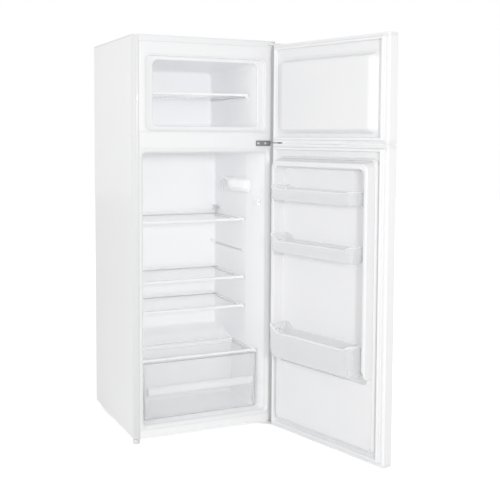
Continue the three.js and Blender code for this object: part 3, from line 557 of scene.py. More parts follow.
# Painted and bare metal, and the foam between the sheets.
PAINT = {"roughness": 0.45, "cells": 500.0, "relief": 0.03, "drift": 20.0, "spread": 0.1}
HINGE_GREY = skin("hinge grey paint", (0.22, 0.22, 0.225), (0.25, 0.25, 0.255), **PAINT)
MACHINE_BLACK = skin("compressor black", (0.018, 0.018, 0.02), (0.03, 0.03, 0.033), **PAINT, dust=0.5)
ZINC = metal("zinc plate", (0.72, 0.73, 0.75), (0.6, 0.61, 0.63), 0.34, 160.0, 0.15)
COPPER = metal("copper tube", (0.78, 0.44, 0.27), (0.58, 0.3, 0.18), 0.3, 60.0, 0.1)
FOAM = skin("insulation foam", (0.84, 0.82, 0.74), (0.78, 0.75, 0.66), 0.9, 420.0, 0.6, 14.0, 0.03)


# ---------------------------------------------------------------- camera, light and floor
CAMERA_PLACE, LENS_LENGTH = (-1.146, -3.0785, 1.078), 62.06
CAMERA_YAW, CAMERA_PITCH, CAMERA_ROLL = (math.radians(angle) for angle in (24.59, -3.95, 0.28))
SHIFT_X, SHIFT_Y = 0.01, -0.11
AMBIENT = 0.625  # strength of the surround's light on the object
FLOOR_RADIUS, FLOOR_SIDES, FLOOR_DROP = 12.0, 64, 0.0005
FLOOR_LIFT = 0.62  # glow that brings the floor up to the surround's white in the camera's view
# place, point it faces, size and power of each soft box
SOFT_BOXES = {
    "key": ((-0.66, -3.9, 1.27), (0.1, -0.3, 0.75), 0.3, 38),
    "side": ((-3.8, -1.3, 1.2), (0.0, 0.0, 0.7), 2.0, 31),
    "high": ((-0.6, -3.4, 2.4), (0.0, 0.0, 0.7), 1.5, 9),
}


def add_camera():
    """The camera stands left of the open side, above the middle of the cabinet, and looks slightly down."""
    east, north = math.sin(CAMERA_YAW), math.cos(CAMERA_YAW)
    ahead = Vector((east * math.cos(CAMERA_PITCH), north * math.cos(CAMERA_PITCH), math.sin(CAMERA_PITCH)))
    level_right = Vector((north, -east, 0))
    level_up = level_right.cross(ahead)
    right = math.cos(CAMERA_ROLL) * level_right + math.sin(CAMERA_ROLL) * level_up
    up = math.cos(CAMERA_ROLL) * level_up - math.sin(CAMERA_ROLL) * level_right
    camera = bpy.data.objects.new("camera", bpy.data.cameras.new("camera"))
    turn = Matrix((right, up, -ahead)).transposed().to_4x4()
    camera.matrix_world = Matrix.Translation(CAMERA_PLACE) @ turn
    camera.data.lens = LENS_LENGTH
    camera.data.shift_x, camera.data.shift_y = SHIFT_X, SHIFT_Y
    bpy.context.scene.collection.objects.link(camera)
    bpy.context.scene.camera = camera


def add_lamp(name, place, aim, size, watts):
    """A square soft box that faces a point."""
    lamp = bpy.data.lights.new(name, "AREA")
    lamp.size = size
    lamp.energy = watts
    held = bpy.data.objects.new(name, lamp)
    held.location = place
    held.rotation_euler = (Vector(aim) - Vector(place)).to_track_quat("-Z", "Y").to_euler()
    bpy.context.scene.collection.objects.link(held)


def add_world():
    """An even white surround, plain white wherever it is seen directly, mirrored or through glass."""
    world = bpy.data.worlds.new("surround")
    world.use_nodes = True
    bpy.context.scene.world = world
    tree = world.node_tree
    tree.nodes.clear()
    path = wire(tree, "ShaderNodeLightPath").outputs
    direct = reckoned(tree, "MAXIMUM", path["Is Camera Ray"], path["Is Glossy Ray"])
    seen = reckoned(tree, "MAXIMUM", direct, path["Is Transmission Ray"])
    strength = ranged(tree, seen, 0.0, 1.0, AMBIENT, 1.0)
    light = wire(tree, "ShaderNodeBackground", None, Color=(1, 1, 1, 1), Strength=strength)
    out = wire(tree, "ShaderNodeOutputWorld")
    tree.links.new(light.outputs[0], out.inputs["Surface"])


def add_floor():
    """A pale round floor that keeps the shadow and is as white as the surround where the camera sees it."""
    angle = np.linspace(0, 2 * math.pi, FLOOR_SIDES, endpoint=False)
    circle = np.stack([np.cos(angle), np.sin(angle), 0 * angle], -1)
    grid = np.array([[[0.02]], [[FLOOR_RADIUS]]]) * circle
    mesh = bpy.data.meshes.new("floor")
    faces = lattice(grid).tolist() + [list(range(FLOOR_SIDES))]
    mesh.from_pydata(grid.reshape(-1, 3).tolist(), [], faces)
    floor = bpy.data.objects.new("floor", mesh)
    floor.location = (0, 0, -FLOOR_DROP)
    bpy.context.scene.collection.objects.link(floor)
    material, tree, shader = new_material("pale floor", Roughness=0.6, Specular_IOR_Level=0.2)
    shader.inputs["Base Color"].default_value = (0.9, 0.9, 0.9, 1)
    shader.inputs["Emission Color"].default_value = (1, 1, 1, 1)
    seen = wire(tree, "ShaderNodeLightPath").outputs["Is Camera Ray"]
    tree.links.new(ranged(tree, seen, 0.0, 1.0, 0.0, FLOOR_LIFT), shader.inputs["Emission Strength"])
    floor.data.materials.append(material)


def add_studio():
    """The surround, the floor, the soft boxes, and light paths long enough for the clear tubs."""
    scene = bpy.context.scene
    scene.view_settings.view_transform = "Standard"
    add_world()
    add_floor()
    for name, (place, aim, size, watts) in SOFT_BOXES.items():
        add_lamp(name, place, aim, size, watts)
    scene.cycles.diffuse_bounces = 16
    scene.cycles.max_bounces = 24
    scene.cycles.transparent_max_bounces = 32


# ---------------------------------------------------------------- cabinet shell
STEEL = 0.8
CORNER = 19  # radius of the cabinet's front corners
FLANGE = 250  # half the width between the side panels' front flanges
GAP = 0.3  # between pieces that touch
MULLION_LOW, MULLION_HIGH, MULLION_THICK = 1042, 1100, 1.2  # the strip between the compartments
APRON_LOW = 1408  # lower edge of the lid's front strip
LID_LOW = TOP - 4
RAIL_TOP = 57.7  # upper edge of the base pan's front rail
BAY_FRONT, BAY_TURN, BAY_ROOF = 318, 261.6, 289.8  # the bay wall, where it turns, and the roof's rear edge
REAR_FOOT = 294  # lower edge of the back panel
BEAD_RISE, BEAD_WIDTH = 2.2, 14


def side_panel(hand):
    """A bent sheet carried up z: front flange, quarter-round corner, flat side; two skins one sheet apart."""

    def section(edge, at):
        """The plan at one height, with its flange out to `edge`."""
        skins = []
        for inset in (0, STEEL):
            bend = arc(SIDE - CORNER, CORNER, CORNER - inset, -90, 0, 14)
            skins.append(np.concatenate([[[edge, inset]], bend, [[SIDE - inset, DEPTH]]]))
        return level(np.concatenate([skins[0], skins[1][::-1]]) * (hand, 1), at)

    step, cut = APRON_LOW - GAP, FLANGE + 2.3
    heights = [(FLANGE, PANEL_FOOT), (FLANGE, step), (cut, step), (cut, LID_LOW - GAP)]
    return tube([section(edge, at) for edge, at in heights])


def top_cover():
    """The lid: a rounded plate with a soft top rim around a shallow field; under it the front strip."""

    def outline(inset):
        """The plan, drawn in by the inset: wide corners in front, tight ones at the back."""
        corners = [CORNER - inset, CORNER - inset, 4, 4]
        return rounded(-SIDE + inset, inset, SIDE - inset, DEPTH - inset, corners, 8)

    turn = np.radians([0, 30, 60, 90])
    rim = list(zip(1.5 * (1 - np.cos(turn)), TOP - 1.5 + 1.5 * np.sin(turn)))
    profile = [(0, LID_LOW), *rim, (3.2, TOP), (3.6, TOP - 0.15), (3.9, TOP - 0.5)]
    lid = tube([level(outline(inset), at) for inset, at in profile])
    half, notch_from, notch_low, notch_high = 252, 236.4, 1414.8, 1418.8  # the notch clears the upper hinge
    notch = [[half, notch_low], [notch_from, notch_low], [notch_from, notch_high], [half, notch_high]]
    apron = [[-half, APRON_LOW], [half, APRON_LOW], *notch, [half, LID_LOW], [-half, LID_LOW]]
    return [lid, bar(apron, 0, 3, "y", 0.4)]


def back_panel():
    """A sheet of nested rounded outlines, whose outer face rises in two sine-squared beads round it."""
    high, half = LID_LOW - GAP, SIDE - STEEL - GAP
    beads = (26, 92)  # distance of each bead from the panel's edge
    waves = [start + np.linspace(0, BEAD_WIDTH, 9) for start in beads]
    insets = np.concatenate([[0, 18], *waves, [120]])
    along = [np.clip((insets - start) / BEAD_WIDTH, 0, 1) for start in beads]
    lifts = sum(BEAD_RISE * np.sin(share * math.pi) ** 2 for share in along)

    def ring(inset, y):
        """A rounded outline, drawn in by the inset, at one depth."""
        outline = rounded(-half + inset, REAR_FOOT + inset, half - inset, high - inset, 0.2 + 0.4 * inset, 6)
        return level(outline, y, "y")

    outer = [ring(inset, DEPTH + lift) for inset, lift in zip(insets[::-1], lifts[::-1])]
    return tube(outer + [ring(inset, DEPTH - STEEL) for inset in (0, 120)])


def base_pan():
    """Pressed steel under the cabinet: floor, front rail, bay wall and bay roof, one sheet thick."""
    wall = STEEL + GAP
    half = SIDE - wall
    floor = brick(-half, half, wall, BAY_FRONT, PANEL_FOOT, PANEL_FOOT + STEEL, 0.3, CORNER - wall)

    def rail(inset):
        """The front rail's outline, drawn in by the inset."""
        end = FLANGE - GAP - inset
        return rounded(-end, PANEL_FOOT + inset, end, RAIL_TOP - inset, 0.8)

    fold = [[BAY_FRONT - STEEL, PANEL_FOOT], [BAY_FRONT, PANEL_FOOT], [BAY_FRONT, BAY_TURN]]
    fold += [[503.9, BAY_ROOF], [503.9, BAY_ROOF + STEEL], [BAY_FRONT - STEEL, BAY_TURN + 1]]
    return [floor, plate(rail, 0, STEEL, "y", 0.3), bar(fold, -half, half)]


def mullion_plate():
    """The strip between the compartments, its long edges rounded over."""

    def outline(inset):
        """The strip's outline, drawn in by the inset."""
        half = FLANGE - GAP - inset
        return rounded(-half, MULLION_LOW + inset, half, MULLION_HIGH - inset, 1.0)

    return plate(outline, 0, MULLION_THICK, "y", 0.6)


def dome_head(point, radius):
    """A plain domed screw head that looks back along y."""
    profile = [(POLE, 0), (radius, 0), (radius, 0.4), (0.85 * radius, 1.0), (0.5 * radius, 1.4), (POLE, 1.5)]
    return turned(profile, point, "y", 20)


def add_shell():
    """The steel and plastic outside of the cabinet, with the screws and foam plugs in its back."""
    for name, hand in (("left", -1), ("right", 1)):
        sheet = side_panel(hand)
        piece(f"{name}_side", "cabinet", "white_steel", SIDE_ENAMEL_LIT_SHADED, [sheet], [f"side_panel_{name}"])
    piece("worktop", "cabinet", "grey_plastic", GRAINED, top_cover(), ["top_cover"])
    piece("rear_sheet", "cabinet", "white_steel", ENAMEL, [back_panel()], ["back_panel"], crease=40)
    piece("pan", "cabinet", "white_steel", ENAMEL, base_pan(), ["base_pan"])
    piece("crossrail", "cabinet", "white_plastic", LINER, [mullion_plate()], ["mullion_plate"])
    screws = [dome_head((x, DEPTH, z), 4.0) for x in (-262, 262) for z in np.linspace(330, 1395, 6)]
    piece("rear_screws", "cabinet", "zinc", ZINC, screws)
    cap = [(POLE, -0.3), (16, -0.3), (16, 0.6), (15, 1.4), (12, 1.8), (11, 1.2), (POLE, 1.2)]
    plugs = [turned(cap, (x, DEPTH, z), "y") for z in (1230, 520) for x in (-205, 205)]
    piece("foam_plugs", "cabinet", "white_plastic", TRIM, plugs)


# ---------------------------------------------------------------- compartment liners
SKIN = 1.6  # wall of both liners
FRIDGE_FLOOR, FRIDGE_CEILING, FRIDGE_REAR = 74, 1027, 443
FRIDGE_DEPTHS, FRIDGE_HALVES = [16, 150, FRIDGE_REAR], [234, 217.5, 214.2]  # a wide front, a crease, the rear
STEP_TOP = 316  # where the step over the compressor meets the rear wall
LIP_HALF, LIP_LOW, LIP_HIGH = 224, 1106, 1360  # the freezer's stepped lip
FREEZER_HALF, FREEZER_LOW, FREEZER_HIGH, FREEZER_REAR = 198, 1120, 1347, 440
SHELF_TOPS = [773, 552, 441]
SHELF_THICK = 4
SPARE_RIB = 655  # a pair of shelf rests that no shelf lies on


def fridge_half(y):
    """Half the fridge compartment's width: it draws in from a wide front to a crease, then hardly more."""
    return np.interp(y, FRIDGE_DEPTHS, FRIDGE_HALVES)


def open_sheet(rings):
    """Nested rings from the outer border inwards, with one flat face inside the last."""
    rings = np.asarray(rings, float)
    m, n = rings.shape[:2]
    return rings.reshape(-1, 3), lattice(rings).tolist() + [list(range((m - 1) * n, m * n))]


def fridge_ring(y, z, y_top, inset):
    """A ring whose low points lie at (y, z) and whose high points lie under the ceiling at y_top.

    Between the two, depth follows height, and the width follows the walls at each point's own depth.
    """
    top = FRIDGE_CEILING - np.interp(y_top, [FRIDGE_DEPTHS[0], FRIDGE_REAR], [0, 3]) - inset
    half = float(fridge_half(y)) - inset
    ring = rounded(-half, z + inset, half, top, 13, 8, (6, 20))
    depth = y + (y_top - y) * np.clip((ring[:, 1] - z) / (top - z), 0, 1)
    scale = (fridge_half(depth) - inset) / half
    return np.stack([ring[:, 0] * scale, depth, ring[:, 1]], -1)


def fridge_rings():
    """Rings round the fridge compartment: flange, rolled lip, then back along the floor, up over the step.

    The last rings turn through a quarter circle into the rear wall.
    """
    rings = [level(rounded(-FLANGE + GAP, 58, FLANGE - GAP, MULLION_LOW - GAP, 0.5, 8, (6, 20)), 0, "y")]
    for turn in np.radians(np.linspace(0, 90, 9)):
        y, out = 16 - 16 * math.cos(turn), 14 * (1 - math.sin(turn))
        half = FRIDGE_HALVES[0] + out
        rim = rounded(-half, FRIDGE_FLOOR - out, half, FRIDGE_CEILING + out, 12 + out, 8, (6, 20))
        rings.append(level(rim, y, "y"))
    bottom = [[depth, FRIDGE_FLOOR] for depth in (16, 80, 150, 268)]
    step = [[268, 283.6], [284, 283.8], [322, 292], [352, 306.5], [433, STEP_TOP]]
    bends = softened(bottom + step, [0, 0.01, 20, 10, 5, 5, 14, 14, 0], 5)[6:-6]
    floor = np.concatenate([[[40, FRIDGE_FLOOR]], bends, [step[-1]]])
    walked = np.concatenate([[0], np.cumsum(np.linalg.norm(np.diff(floor, axis=0), axis=1))])
    ceiling = np.interp(walked / walked[-1], [0, 0.22, 0.7, 1], [40, 150, 330, 433])
    rings += [fridge_ring(y, z, y_top, 0) for (y, z), y_top in zip(floor, ceiling)]
    for turn in np.radians(np.linspace(15, 90, 6)):
        inset, deeper = 10 * (1 - math.cos(turn)), 10 * math.sin(turn)
        rings.append(fridge_ring(433 + deeper, STEP_TOP + 0.1 * deeper, 433 + deeper, inset))
    return rings


def freezer_rings():
    """Rings round the freezer compartment: flange, fine groove, rounded lip, step, walls and rear wall."""

    def ring(half, low, high, radius, y):
        """A rounded outline between two heights, at one depth."""
        return level(rounded(-half, low, half, high, radius, 8, (6, 6)), y, "y")

    rings = [ring(FLANGE - GAP, MULLION_HIGH + GAP, APRON_LOW - GAP, 0.5, 0)]
    for out, y in ((6.6, 0), (6.2, 1.9), (4.8, 1.9), (4.4, 0)):
        rings.append(ring(LIP_HALF + out, LIP_LOW - 3 - 0.25 * (out - 3), LIP_HIGH + out, 21, y))
    for turn in np.radians([0, 30, 60, 90]):
        out = 3 * (1 - math.sin(turn))
        rings.append(ring(LIP_HALF + out, LIP_LOW - out, LIP_HIGH + out, 18 + out, 3 - 3 * math.cos(turn)))
    for turn in np.radians([0, 45, 90]):
        inward = 2 * (1 - math.cos(turn))
        low, high = LIP_LOW + inward, LIP_HIGH - inward
        rings.append(ring(LIP_HALF - inward, low, high, 18 - inward, 8 + 2 * math.sin(turn)))
    for turn in np.radians([0, 30, 60, 90]):
        out = 4 * (1 - math.sin(turn))
        low, high = FREEZER_LOW - out, FREEZER_HIGH + out
        rings.append(ring(FREEZER_HALF + out, low, high, 20 + out, 14 - 4 * math.cos(turn)))
    rings.append(ring(FREEZER_HALF - 0.7, FREEZER_LOW + 0.3, FREEZER_HIGH - 0.3, 20, 60))
    for half, y in ((FREEZER_HALF - 1.7, 155), (FREEZER_HALF - 2.3, 175)):
        rings.append(ring(half, FREEZER_LOW + 1, FREEZER_HIGH - 1, 19, y))
    for turn in np.radians(np.linspace(0, 90, 8)):
        inset = 12 * (1 - math.cos(turn))
        low, high = FREEZER_LOW + 3 + inset, FREEZER_HIGH - 3 - inset
        rings.append(ring(FREEZER_HALF - 3 - inset, low, high, 16, FREEZER_REAR - 12 + 12 * math.sin(turn)))
    return rings


def ledge(hand, top, y0, y1, inner, wall):
    """A moulded rest on a side wall: nested rounded outlines from a flared root to a soft inner face."""
    reach = wall - inner
    profile = [(-2.6, -0.4), (-1.2, 0.6), (-0.4, 1.8), (0, 3.4)]
    profile += [(0, reach - 1.2), (0.3, reach - 0.4), (1.2, reach)]
    rings = []
    for inset, out in profile:
        outline = rounded(y0 + inset, top - 9 + inset, y1 - inset, top - inset, 4, 5)
        rings.append(level(outline, hand * (wall - out), "x"))
    return tube(rings)


def fridge_ledge(hand, top, y0, y1, inner, wall):
    """A ledge whose root follows the fridge compartment's wall, which draws in towards the back."""
    points, faces = ledge(hand, top, y0, y1, inner, wall)
    root = np.abs(points[:, 0]) > wall - 1.5
    points[:, 0] += hand * np.where(root, fridge_half(points[:, 1]) - wall, 0)
    return points, faces


def add_liners():
    """Both tubs with their rests, the clip beside the top shelf and the button on the rear wall."""
    fridge, freezer = open_sheet(fridge_rings()), open_sheet(freezer_rings())
    sheet = {"crease": 50, "wall": -SKIN}
    piece("fridge_tub", "cabinet", "white_plastic", LINER, [fridge], ["fridge_liner"], **sheet)
    rests = [(top - SHELF_THICK - GAP, 208.5) for top in SHELF_TOPS] + [(SPARE_RIB - GAP, 213)]
    ledges = [fridge_ledge(hand, top, 162, 436, inner, 216.0) for top, inner in rests for hand in (-1, 1)]
    ledges += [fridge_ledge(hand, 283.7, 72, 262, 211.5, 217.5) for hand in (-1, 1)]
    piece("fridge_ledges", "cabinet", "white_plastic", LINER, ledges)
    piece("freezer_tub", "cabinet", "white_plastic", LINER, [freezer], ["freezer_liner"], **sheet)
    fins = [brick(200, 214.6, 376, 431, z, z + 3.2, 0.9, 2) for z in (786, 792, 798, 804)]
    piece("shelf_clip_fins", "cabinet", "white_plastic", TRIM, fins)
    # the spine is grey to paint the shade in the slots between the white fins
    spine = brick(209, 214.8, 380, 428, 787, 806, 0.6, 1.5)
    piece("shelf_clip_spine", "cabinet", "grey_plastic", GRAINED, [spine])
    button = [(POLE, 437.6), (5, 437.7), (7.2, 438.4), (8.4, 439.8), (9, 442.2), (9, 444), (POLE, 444)]
    piece("wall_button", "cabinet", "white_plastic", TRIM, [turned(button, (204, 0, 661), "y", 28)])
    shelf_rests = [ledge(hand, 1234.7, 88, 430, 187, 196.5) for hand in (-1, 1)]
    piece("freezer_ledges", "cabinet", "white_plastic", LINER, shelf_rests)


# ---------------------------------------------------------------- doors
THICK = DOOR_INNER - DOOR_OUTER
CAP = 10  # height of a door's end caps
EDGE = CAP + GAP  # from a door's end to the end of its skin and inner panel
SKIRT_DROP = 4.2  # how far the skirt hangs under the upper door
FREEZER_DOOR = (extent("freezer_door_bottom_cap")[0][2] + SKIRT_DROP, extent("freezer_door_top_cap")[1][2])
FRIDGE_DOOR = (extent("fridge_door_bottom_cap")[0][2], extent("fridge_door_top_cap")[1][2])
OUTER_ROUND, INNER_ROUND = 6, 3  # radii of a door's upright edges
GRIP = (345, 530)  # where the caps are hollowed for the hand, from the hinge edge
SLOT_DEPTH, SCOOP_DEPTH = 4.5, 9
# how far across the gripped cap each line of points lies, dense where the slot and the scoop start and end
ACROSS = [0.0, 0.008, 0.03, 0.07, 0.12, 0.135, 0.15, 0.165, 0.3, 0.41, 0.43, 0.455, 0.475]
ACROSS += [0.6, 0.78, 0.93, 0.97, 0.992, 1.0]


def door_outline(inset):
    """A door's plan (s, h): soft corners on the outer face, tight ones on the inner face."""
    corners = [max(r - inset, 0.3) for r in (OUTER_ROUND, OUTER_ROUND, INNER_ROUND, INNER_ROUND)]
    return rounded(inset, -THICK + inset, DOOR_WIDTH - inset, -inset, corners, 8)


def door_skin(low, high):
    """Sheet steel folded round the door: its plan carried up z, open at the back between two narrow folds."""
    sheet, fold = 0.6, 8.75

    def bend(inset):
        """One face of the sheet, drawn in by the inset: from fold to fold round both upright edges."""
        tight = arc(INNER_ROUND, -INNER_ROUND, INNER_ROUND - inset, 90, 180, 5)
        soft = arc(OUTER_ROUND, OUTER_ROUND - THICK, OUTER_ROUND - inset, 180, 270, 9)
        left = np.concatenate([tight, soft])
        right = np.stack([DOOR_WIDTH - left[::-1, 0], left[::-1, 1]], -1)
        return np.concatenate([[[fold, -inset]], left, right, [[DOOR_WIDTH - fold, -inset]]])

    section = np.concatenate([bend(0), bend(sheet)[::-1]])
    return tube([level(section, z) for z in (low + EDGE, high - EDGE)])


def quarter(share):
    """How far a quarter circle of radius 1 lies below its top, from 1 at its start to 0 where it ends."""
    return 1 - np.sqrt(np.clip(1 - (1 - np.clip(share, 0, 1)) ** 2, 0, 1))


def grip_depth(s, h):
    """How deep a gripped cap is cut: a shallow slot at its inner face, a deep scoop open to the outer one."""
    start, end = GRIP
    along_slot = smooth(s, start - 1, start + 3) * (1 - smooth(s, end - 3, end + 1))
    reach = 9 * quarter((-17 - h) / 9)
    along_scoop = smooth(s, start + reach, start + reach + 4) * (1 - smooth(s, end - reach - 4, end - reach))
    return SLOT_DEPTH * along_slot * smooth(h, -6.6, -5.4) + SCOOP_DEPTH * along_scoop * smooth(h, -16.5, -19)


def gripped_cap(edge, up):
    """A cap carried along s: each section is its outline in (h, z), cut in by the grip's depth there."""
    start, end = GRIP
    near = OUTER_ROUND * (1 - np.cos(np.radians(np.linspace(8, 90, 7))))
    close = np.linspace(-1.5, 14, 16)  # sections close together where the grip starts and ends
    grip = [start + close, np.linspace(start + 20, end - 20, 5), end - close[::-1]]
    s = np.concatenate([near, [20, 180], *grip, DOOR_WIDTH - near[::-1]])[:, None]
    from_end = np.minimum(s, DOOR_WIDTH - s)
    outer = OUTER_ROUND * quarter(from_end / OUTER_ROUND) - THICK
    inner = -INNER_ROUND * quarter(from_end / INNER_ROUND)
    h = inner + (outer - inner) * np.array(ACROSS)
    rim = quarter(np.minimum(inner - h, h - outer))
    top = np.stack([np.broadcast_to(s, h.shape), h, edge - up * (rim + grip_depth(s, h))], -1)
    corners = np.concatenate([outer, inner], 1)
    under = np.stack([np.broadcast_to(s, corners.shape), corners, np.full_like(corners, edge - up * CAP)], -1)
    rings = np.concatenate([top, under], 1)
    return tube(np.concatenate([rings[:1], rings, rings[-1:]]))


def door_skirt(edge):
    """A thin skirt that closes the gap under the upper door: near its inner face, deeper in the grip.

    Its last strip closes the free edge.
    """
    start, end = GRIP
    runs = ((60, start - 2, -3, -1), (start - 2, end + 2, -8.5, -6.5), (end + 2, DOOR_WIDTH - 4, -3, -1))
    runs += ((DOOR_WIDTH - 4, DOOR_WIDTH - 2, -34, -2),)
    return [brick(s0, s1, h0, h1, edge - SKIRT_DROP, edge + 1, 0.4, 0.5) for s0, s1, h0, h1 in runs]


def plain_cap(edge, up):
    """A slab across the door's end with a soft rim."""
    low, high = sorted((edge, edge - up * CAP))
    return plate(door_outline, low, high, edge=1.0)


def plug(edge, up):
    """The block under a cap that holds it inside the skin."""
    low, high = sorted((edge - up * (CAP - 0.5), edge - up * (CAP + 12)))

    def outline(inset):
        """The block's plan, drawn in by the inset."""
        side = 1.2 + inset
        return rounded(side, -THICK + side, DOOR_WIDTH - side, -1 - side, 4)

    return plate(outline, low, high, edge=0.8)


def panel_ring(edge, z0, z1, radius, h, rows=()):
    """A rounded rectangle as far from the hinge edge as from the free one, with fixed rows up its sides.

    Its height over the inner face is h, which may be a function of the outline.
    """
    steps, run = 7, 5
    outline = rounded(edge, z0, DOOR_WIDTH - edge, z1, radius, steps, (run, len(rows)))
    if len(rows):
        first = 2 * (steps + 1) + run
        second = first + len(rows) + first
        outline[first : first + len(rows), 1] = rows
        outline[second : second + len(rows), 1] = rows[::-1]
    h = h(outline) if callable(h) else np.full(len(outline), float(h))
    return np.stack([outline[:, 0], h, outline[:, 1]], -1)


def foot_groove(depth, hinge_side, free_side):
    """The groove at a plateau's foot: full depth along top and bottom, the stated shares up the sides."""

    def height(outline):
        """The height over the inner face at each point."""
        s = outline[:, 0] - DOOR_WIDTH / 2
        kept = np.where(s < 0, hinge_side, free_side)
        return -depth * (1 - smooth(np.abs(s), 196, 228) * (1 - kept))

    return height


def freezer_panel(low, high):
    """The freezer door's inner face: a flat sheet that swells through soft slopes into one broad plateau.

    Nested rounded outlines (edge distance, lowest z, highest z, height) climb from a fine groove at its foot.
    """
    slopes = [
        (37, 1096.8, 1357, 0), (40, 1097.8, 1353, 0.6), (43, 1098.5, 1351, 2.2), (47, 1099.8, 1349.6, 6.2),
        (51.5, 1102.2, 1348.4, 11.5), (55.8, 1106.2, 1347, 16), (60.5, 1108.4, 1344.8, 19.6),
        (65.5, 1110.6, 1341.6, 21.8), (71, 1113.6, 1337, 22.8), (79, 1121, 1328, 23),
    ]
    groove = foot_groove(1.5, 0.1, 0.1)
    rings = [panel_ring(9, low + EDGE, high - EDGE, 0.5, 0), panel_ring(36, 1092.4, 1359.6, 22, 0)]
    rings += [panel_ring(36.2, 1092.8, 1359.2, 22, groove), panel_ring(36.8, 1096, 1357.4, 22, groove)]
    rings += [panel_ring(edge, z0, z1, max(22 - 0.35 * (edge - 37), 7), h) for edge, z0, z1, h in slopes]
    return open_sheet(rings)


PLATEAU = 14  # height of the fridge door's plateau over its inner face
RIDGE_ROWS = np.concatenate([np.arange(303, 346, 1.8), np.linspace(360, 955, 8)])  # close at the slanted ends
SEAL_EDGE = 15  # the seals' distance from the doors' upright edges


def ridge_line(rise):
    """Height over the inner face on the ridges: it falls to the plateau below a slanted end on both sides."""

    def height(outline):
        """The height over the inner face at each point."""
        s = np.minimum(outline[:, 0], DOOR_WIDTH - outline[:, 0])
        end = 336 - (59 - s) * 32 / 18
        return PLATEAU + (rise - PLATEAU) * smooth(outline[:, 1], end - 2.2, end + 2.2)

    return height


def fridge_panel(low, high):
    """The fridge door's inner face: a low plateau, an inverted U of ridges on it and a deep well inside them.

    Nested rounded outlines (edge distance, lowest z, highest z, corner radius, height) go from the door's rim
    to the well's floor; on the ridges the height depends on z as well.
    """
    groove = foot_groove(1.4, 0.1, 1)
    outline = [
        (9, low + EDGE, high - EDGE, 0.5, 0), (32, 61.4, 1019.6, 22, 0), (32.2, 61.8, 1019.2, 22, groove),
        (33.2, 64.4, 1018, 21, groove), (33.8, 65, 1017.4, 20, 0.4), (35.4, 66, 1016, 19, 3),
        (38.6, 67.4, 1011.8, 17, 11), (40, 68.8, 1010.8, 16, 13.2), (41.2, 71.4, 1010.8, 15, PLATEAU),
        (41.5, 73, 1010, 15, 10), (42.2, 74, 1007.2, 15, 11), (42.5, 76, 1006.4, 15, PLATEAU),
        (43, 282, 1005.6, 15, PLATEAU + 0.02),
    ]
    ridges = [
        (43.4, 282.4, 1005, 15, 17), (45, 283, 1002.4, 16, 41), (45.8, 283.4, 1001.4, 16, 44.6),
        (47.4, 283.8, 999.6, 15, 47.2), (49.6, 284.2, 997.2, 14, 48), (56, 284.6, 987.6, 14, 48),
        (58.6, 285, 985.2, 14, 47.2), (59.9, 285.3, 983.8, 14, 45.4), (60.6, 285.6, 982.8, 14, 42),
    ]
    well = [
        (62.8, 286, 979.2, 14, 16), (63.2, 286.6, 978.6, 14, 12), (64.2, 292, 976.8, 13, 5),
        (65.4, 294.4, 975.4, 12, 3.3), (67.5, 296.6, 973.2, 11, 3), (76, 302, 966, 10, 3),
    ]
    ridges = [(*place, ridge_line(rise)) for *place, rise in ridges]
    rings = []
    for edge, z0, z1, radius, h in outline + ridges + well:
        radii = [min(radius, 14), min(radius, 14), radius + 8, radius + 8]
        rings.append(panel_ring(edge, z0, z1, radii, h, RIDGE_ROWS))
    return open_sheet(rings)


def gasket(node):
    """A magnetic seal: a flat foot, a bellows and a round head, carried round the door."""
    low, high = (corner[2] for corner in extent(node))
    foot = [(0, 0.3), (12, 0.3), (12, 2.2), (10.6, 3.4)]
    head = [(9.8, 5.2), (10.8, 7.2), (10.2, 12.2), (8.6, 14.4), (6, 14.7), (3.4, 14.4), (1.8, 12.2)]
    back = [(1.2, 7.2), (2.2, 5.2), (1.4, 3.4), (0, 2.2)]
    rings = []
    for inset, h in softened(foot + head + back, 0.5, 2):
        edge = SEAL_EDGE + inset
        rings.append(level(rounded(edge, low + inset, DOOR_WIDTH - edge, high - inset, 1.2, 3), h, "y"))
    return hoop(rings)


# the floor, the low front rim, and the ears at the hinge end and the free end of each bin
BINS = {
    "door_bin_top": (866, 908, 918, 914),
    "door_bin_middle": (684, 727, 747, 738),
    "door_bin_bottom": (314, 408, 430, 419),
}


def rim_height(s, rim, ear, far_ear):
    """The top of a bin along the door: high ears at both ends fall in curves to a low front."""
    near = rim + (ear - rim) * (1 - smooth(s, 90, 124))
    return near + (far_ear - rim) * smooth(s, 440, 464)


def door_bin(low, rim, ear, far_ear):
    """A clear tub: rounded outlines that widen upwards outside, turn over a beaded rim and go down inside."""

    def ring(share, inset, floor=low):
        """An outline a share of the way from the floor up to the rim, drawn in by the inset."""
        front, back = max(18 - inset, 1), max(4 - inset, 1)
        s0, s1, reach = 79 - 4 * share, 466 + 4 * share, 79 + 6 * share
        corners = [back, back, front, front]
        outline = rounded(s0 + inset, 4 + inset, s1 - inset, reach - inset, corners, 7, (26, 4))
        height = rim_height(outline[:, 0], rim, ear, far_ear)
        return np.stack([outline[:, 0], outline[:, 1], floor + (height - floor) * share], -1)

    inner_floor = low + 2.5
    outside = [ring(0, 3.0), ring(0.004, 1.2), ring(0.03, 0.2), ring(0.1, 0), ring(0.45, 0), ring(0.9, 0)]
    bead = [ring(0.93, -0.9), ring(0.985, -1.0), ring(1.0, -0.2), ring(1.0, 1.6), ring(0.98, 2)]
    inside = [ring(0.9, 2), ring(0.45, 2)]
    inside += [ring(share, inset, inner_floor) for share, inset in ((0.08, 2), (0.02, 3), (0, 5.5))]
    verts, faces = tube(outside + bead + inside)
    # one mark for each ring: light gathers in the bead and in the floor's turn
    marks = [0.2, 0.25, 0, 0, 0, 0, 0.5, 0.6, 0.6, 0.55, 0.3, 0, 0, 0, 0, 0]
    return verts, faces, np.repeat(marks, len(verts) // len(marks))


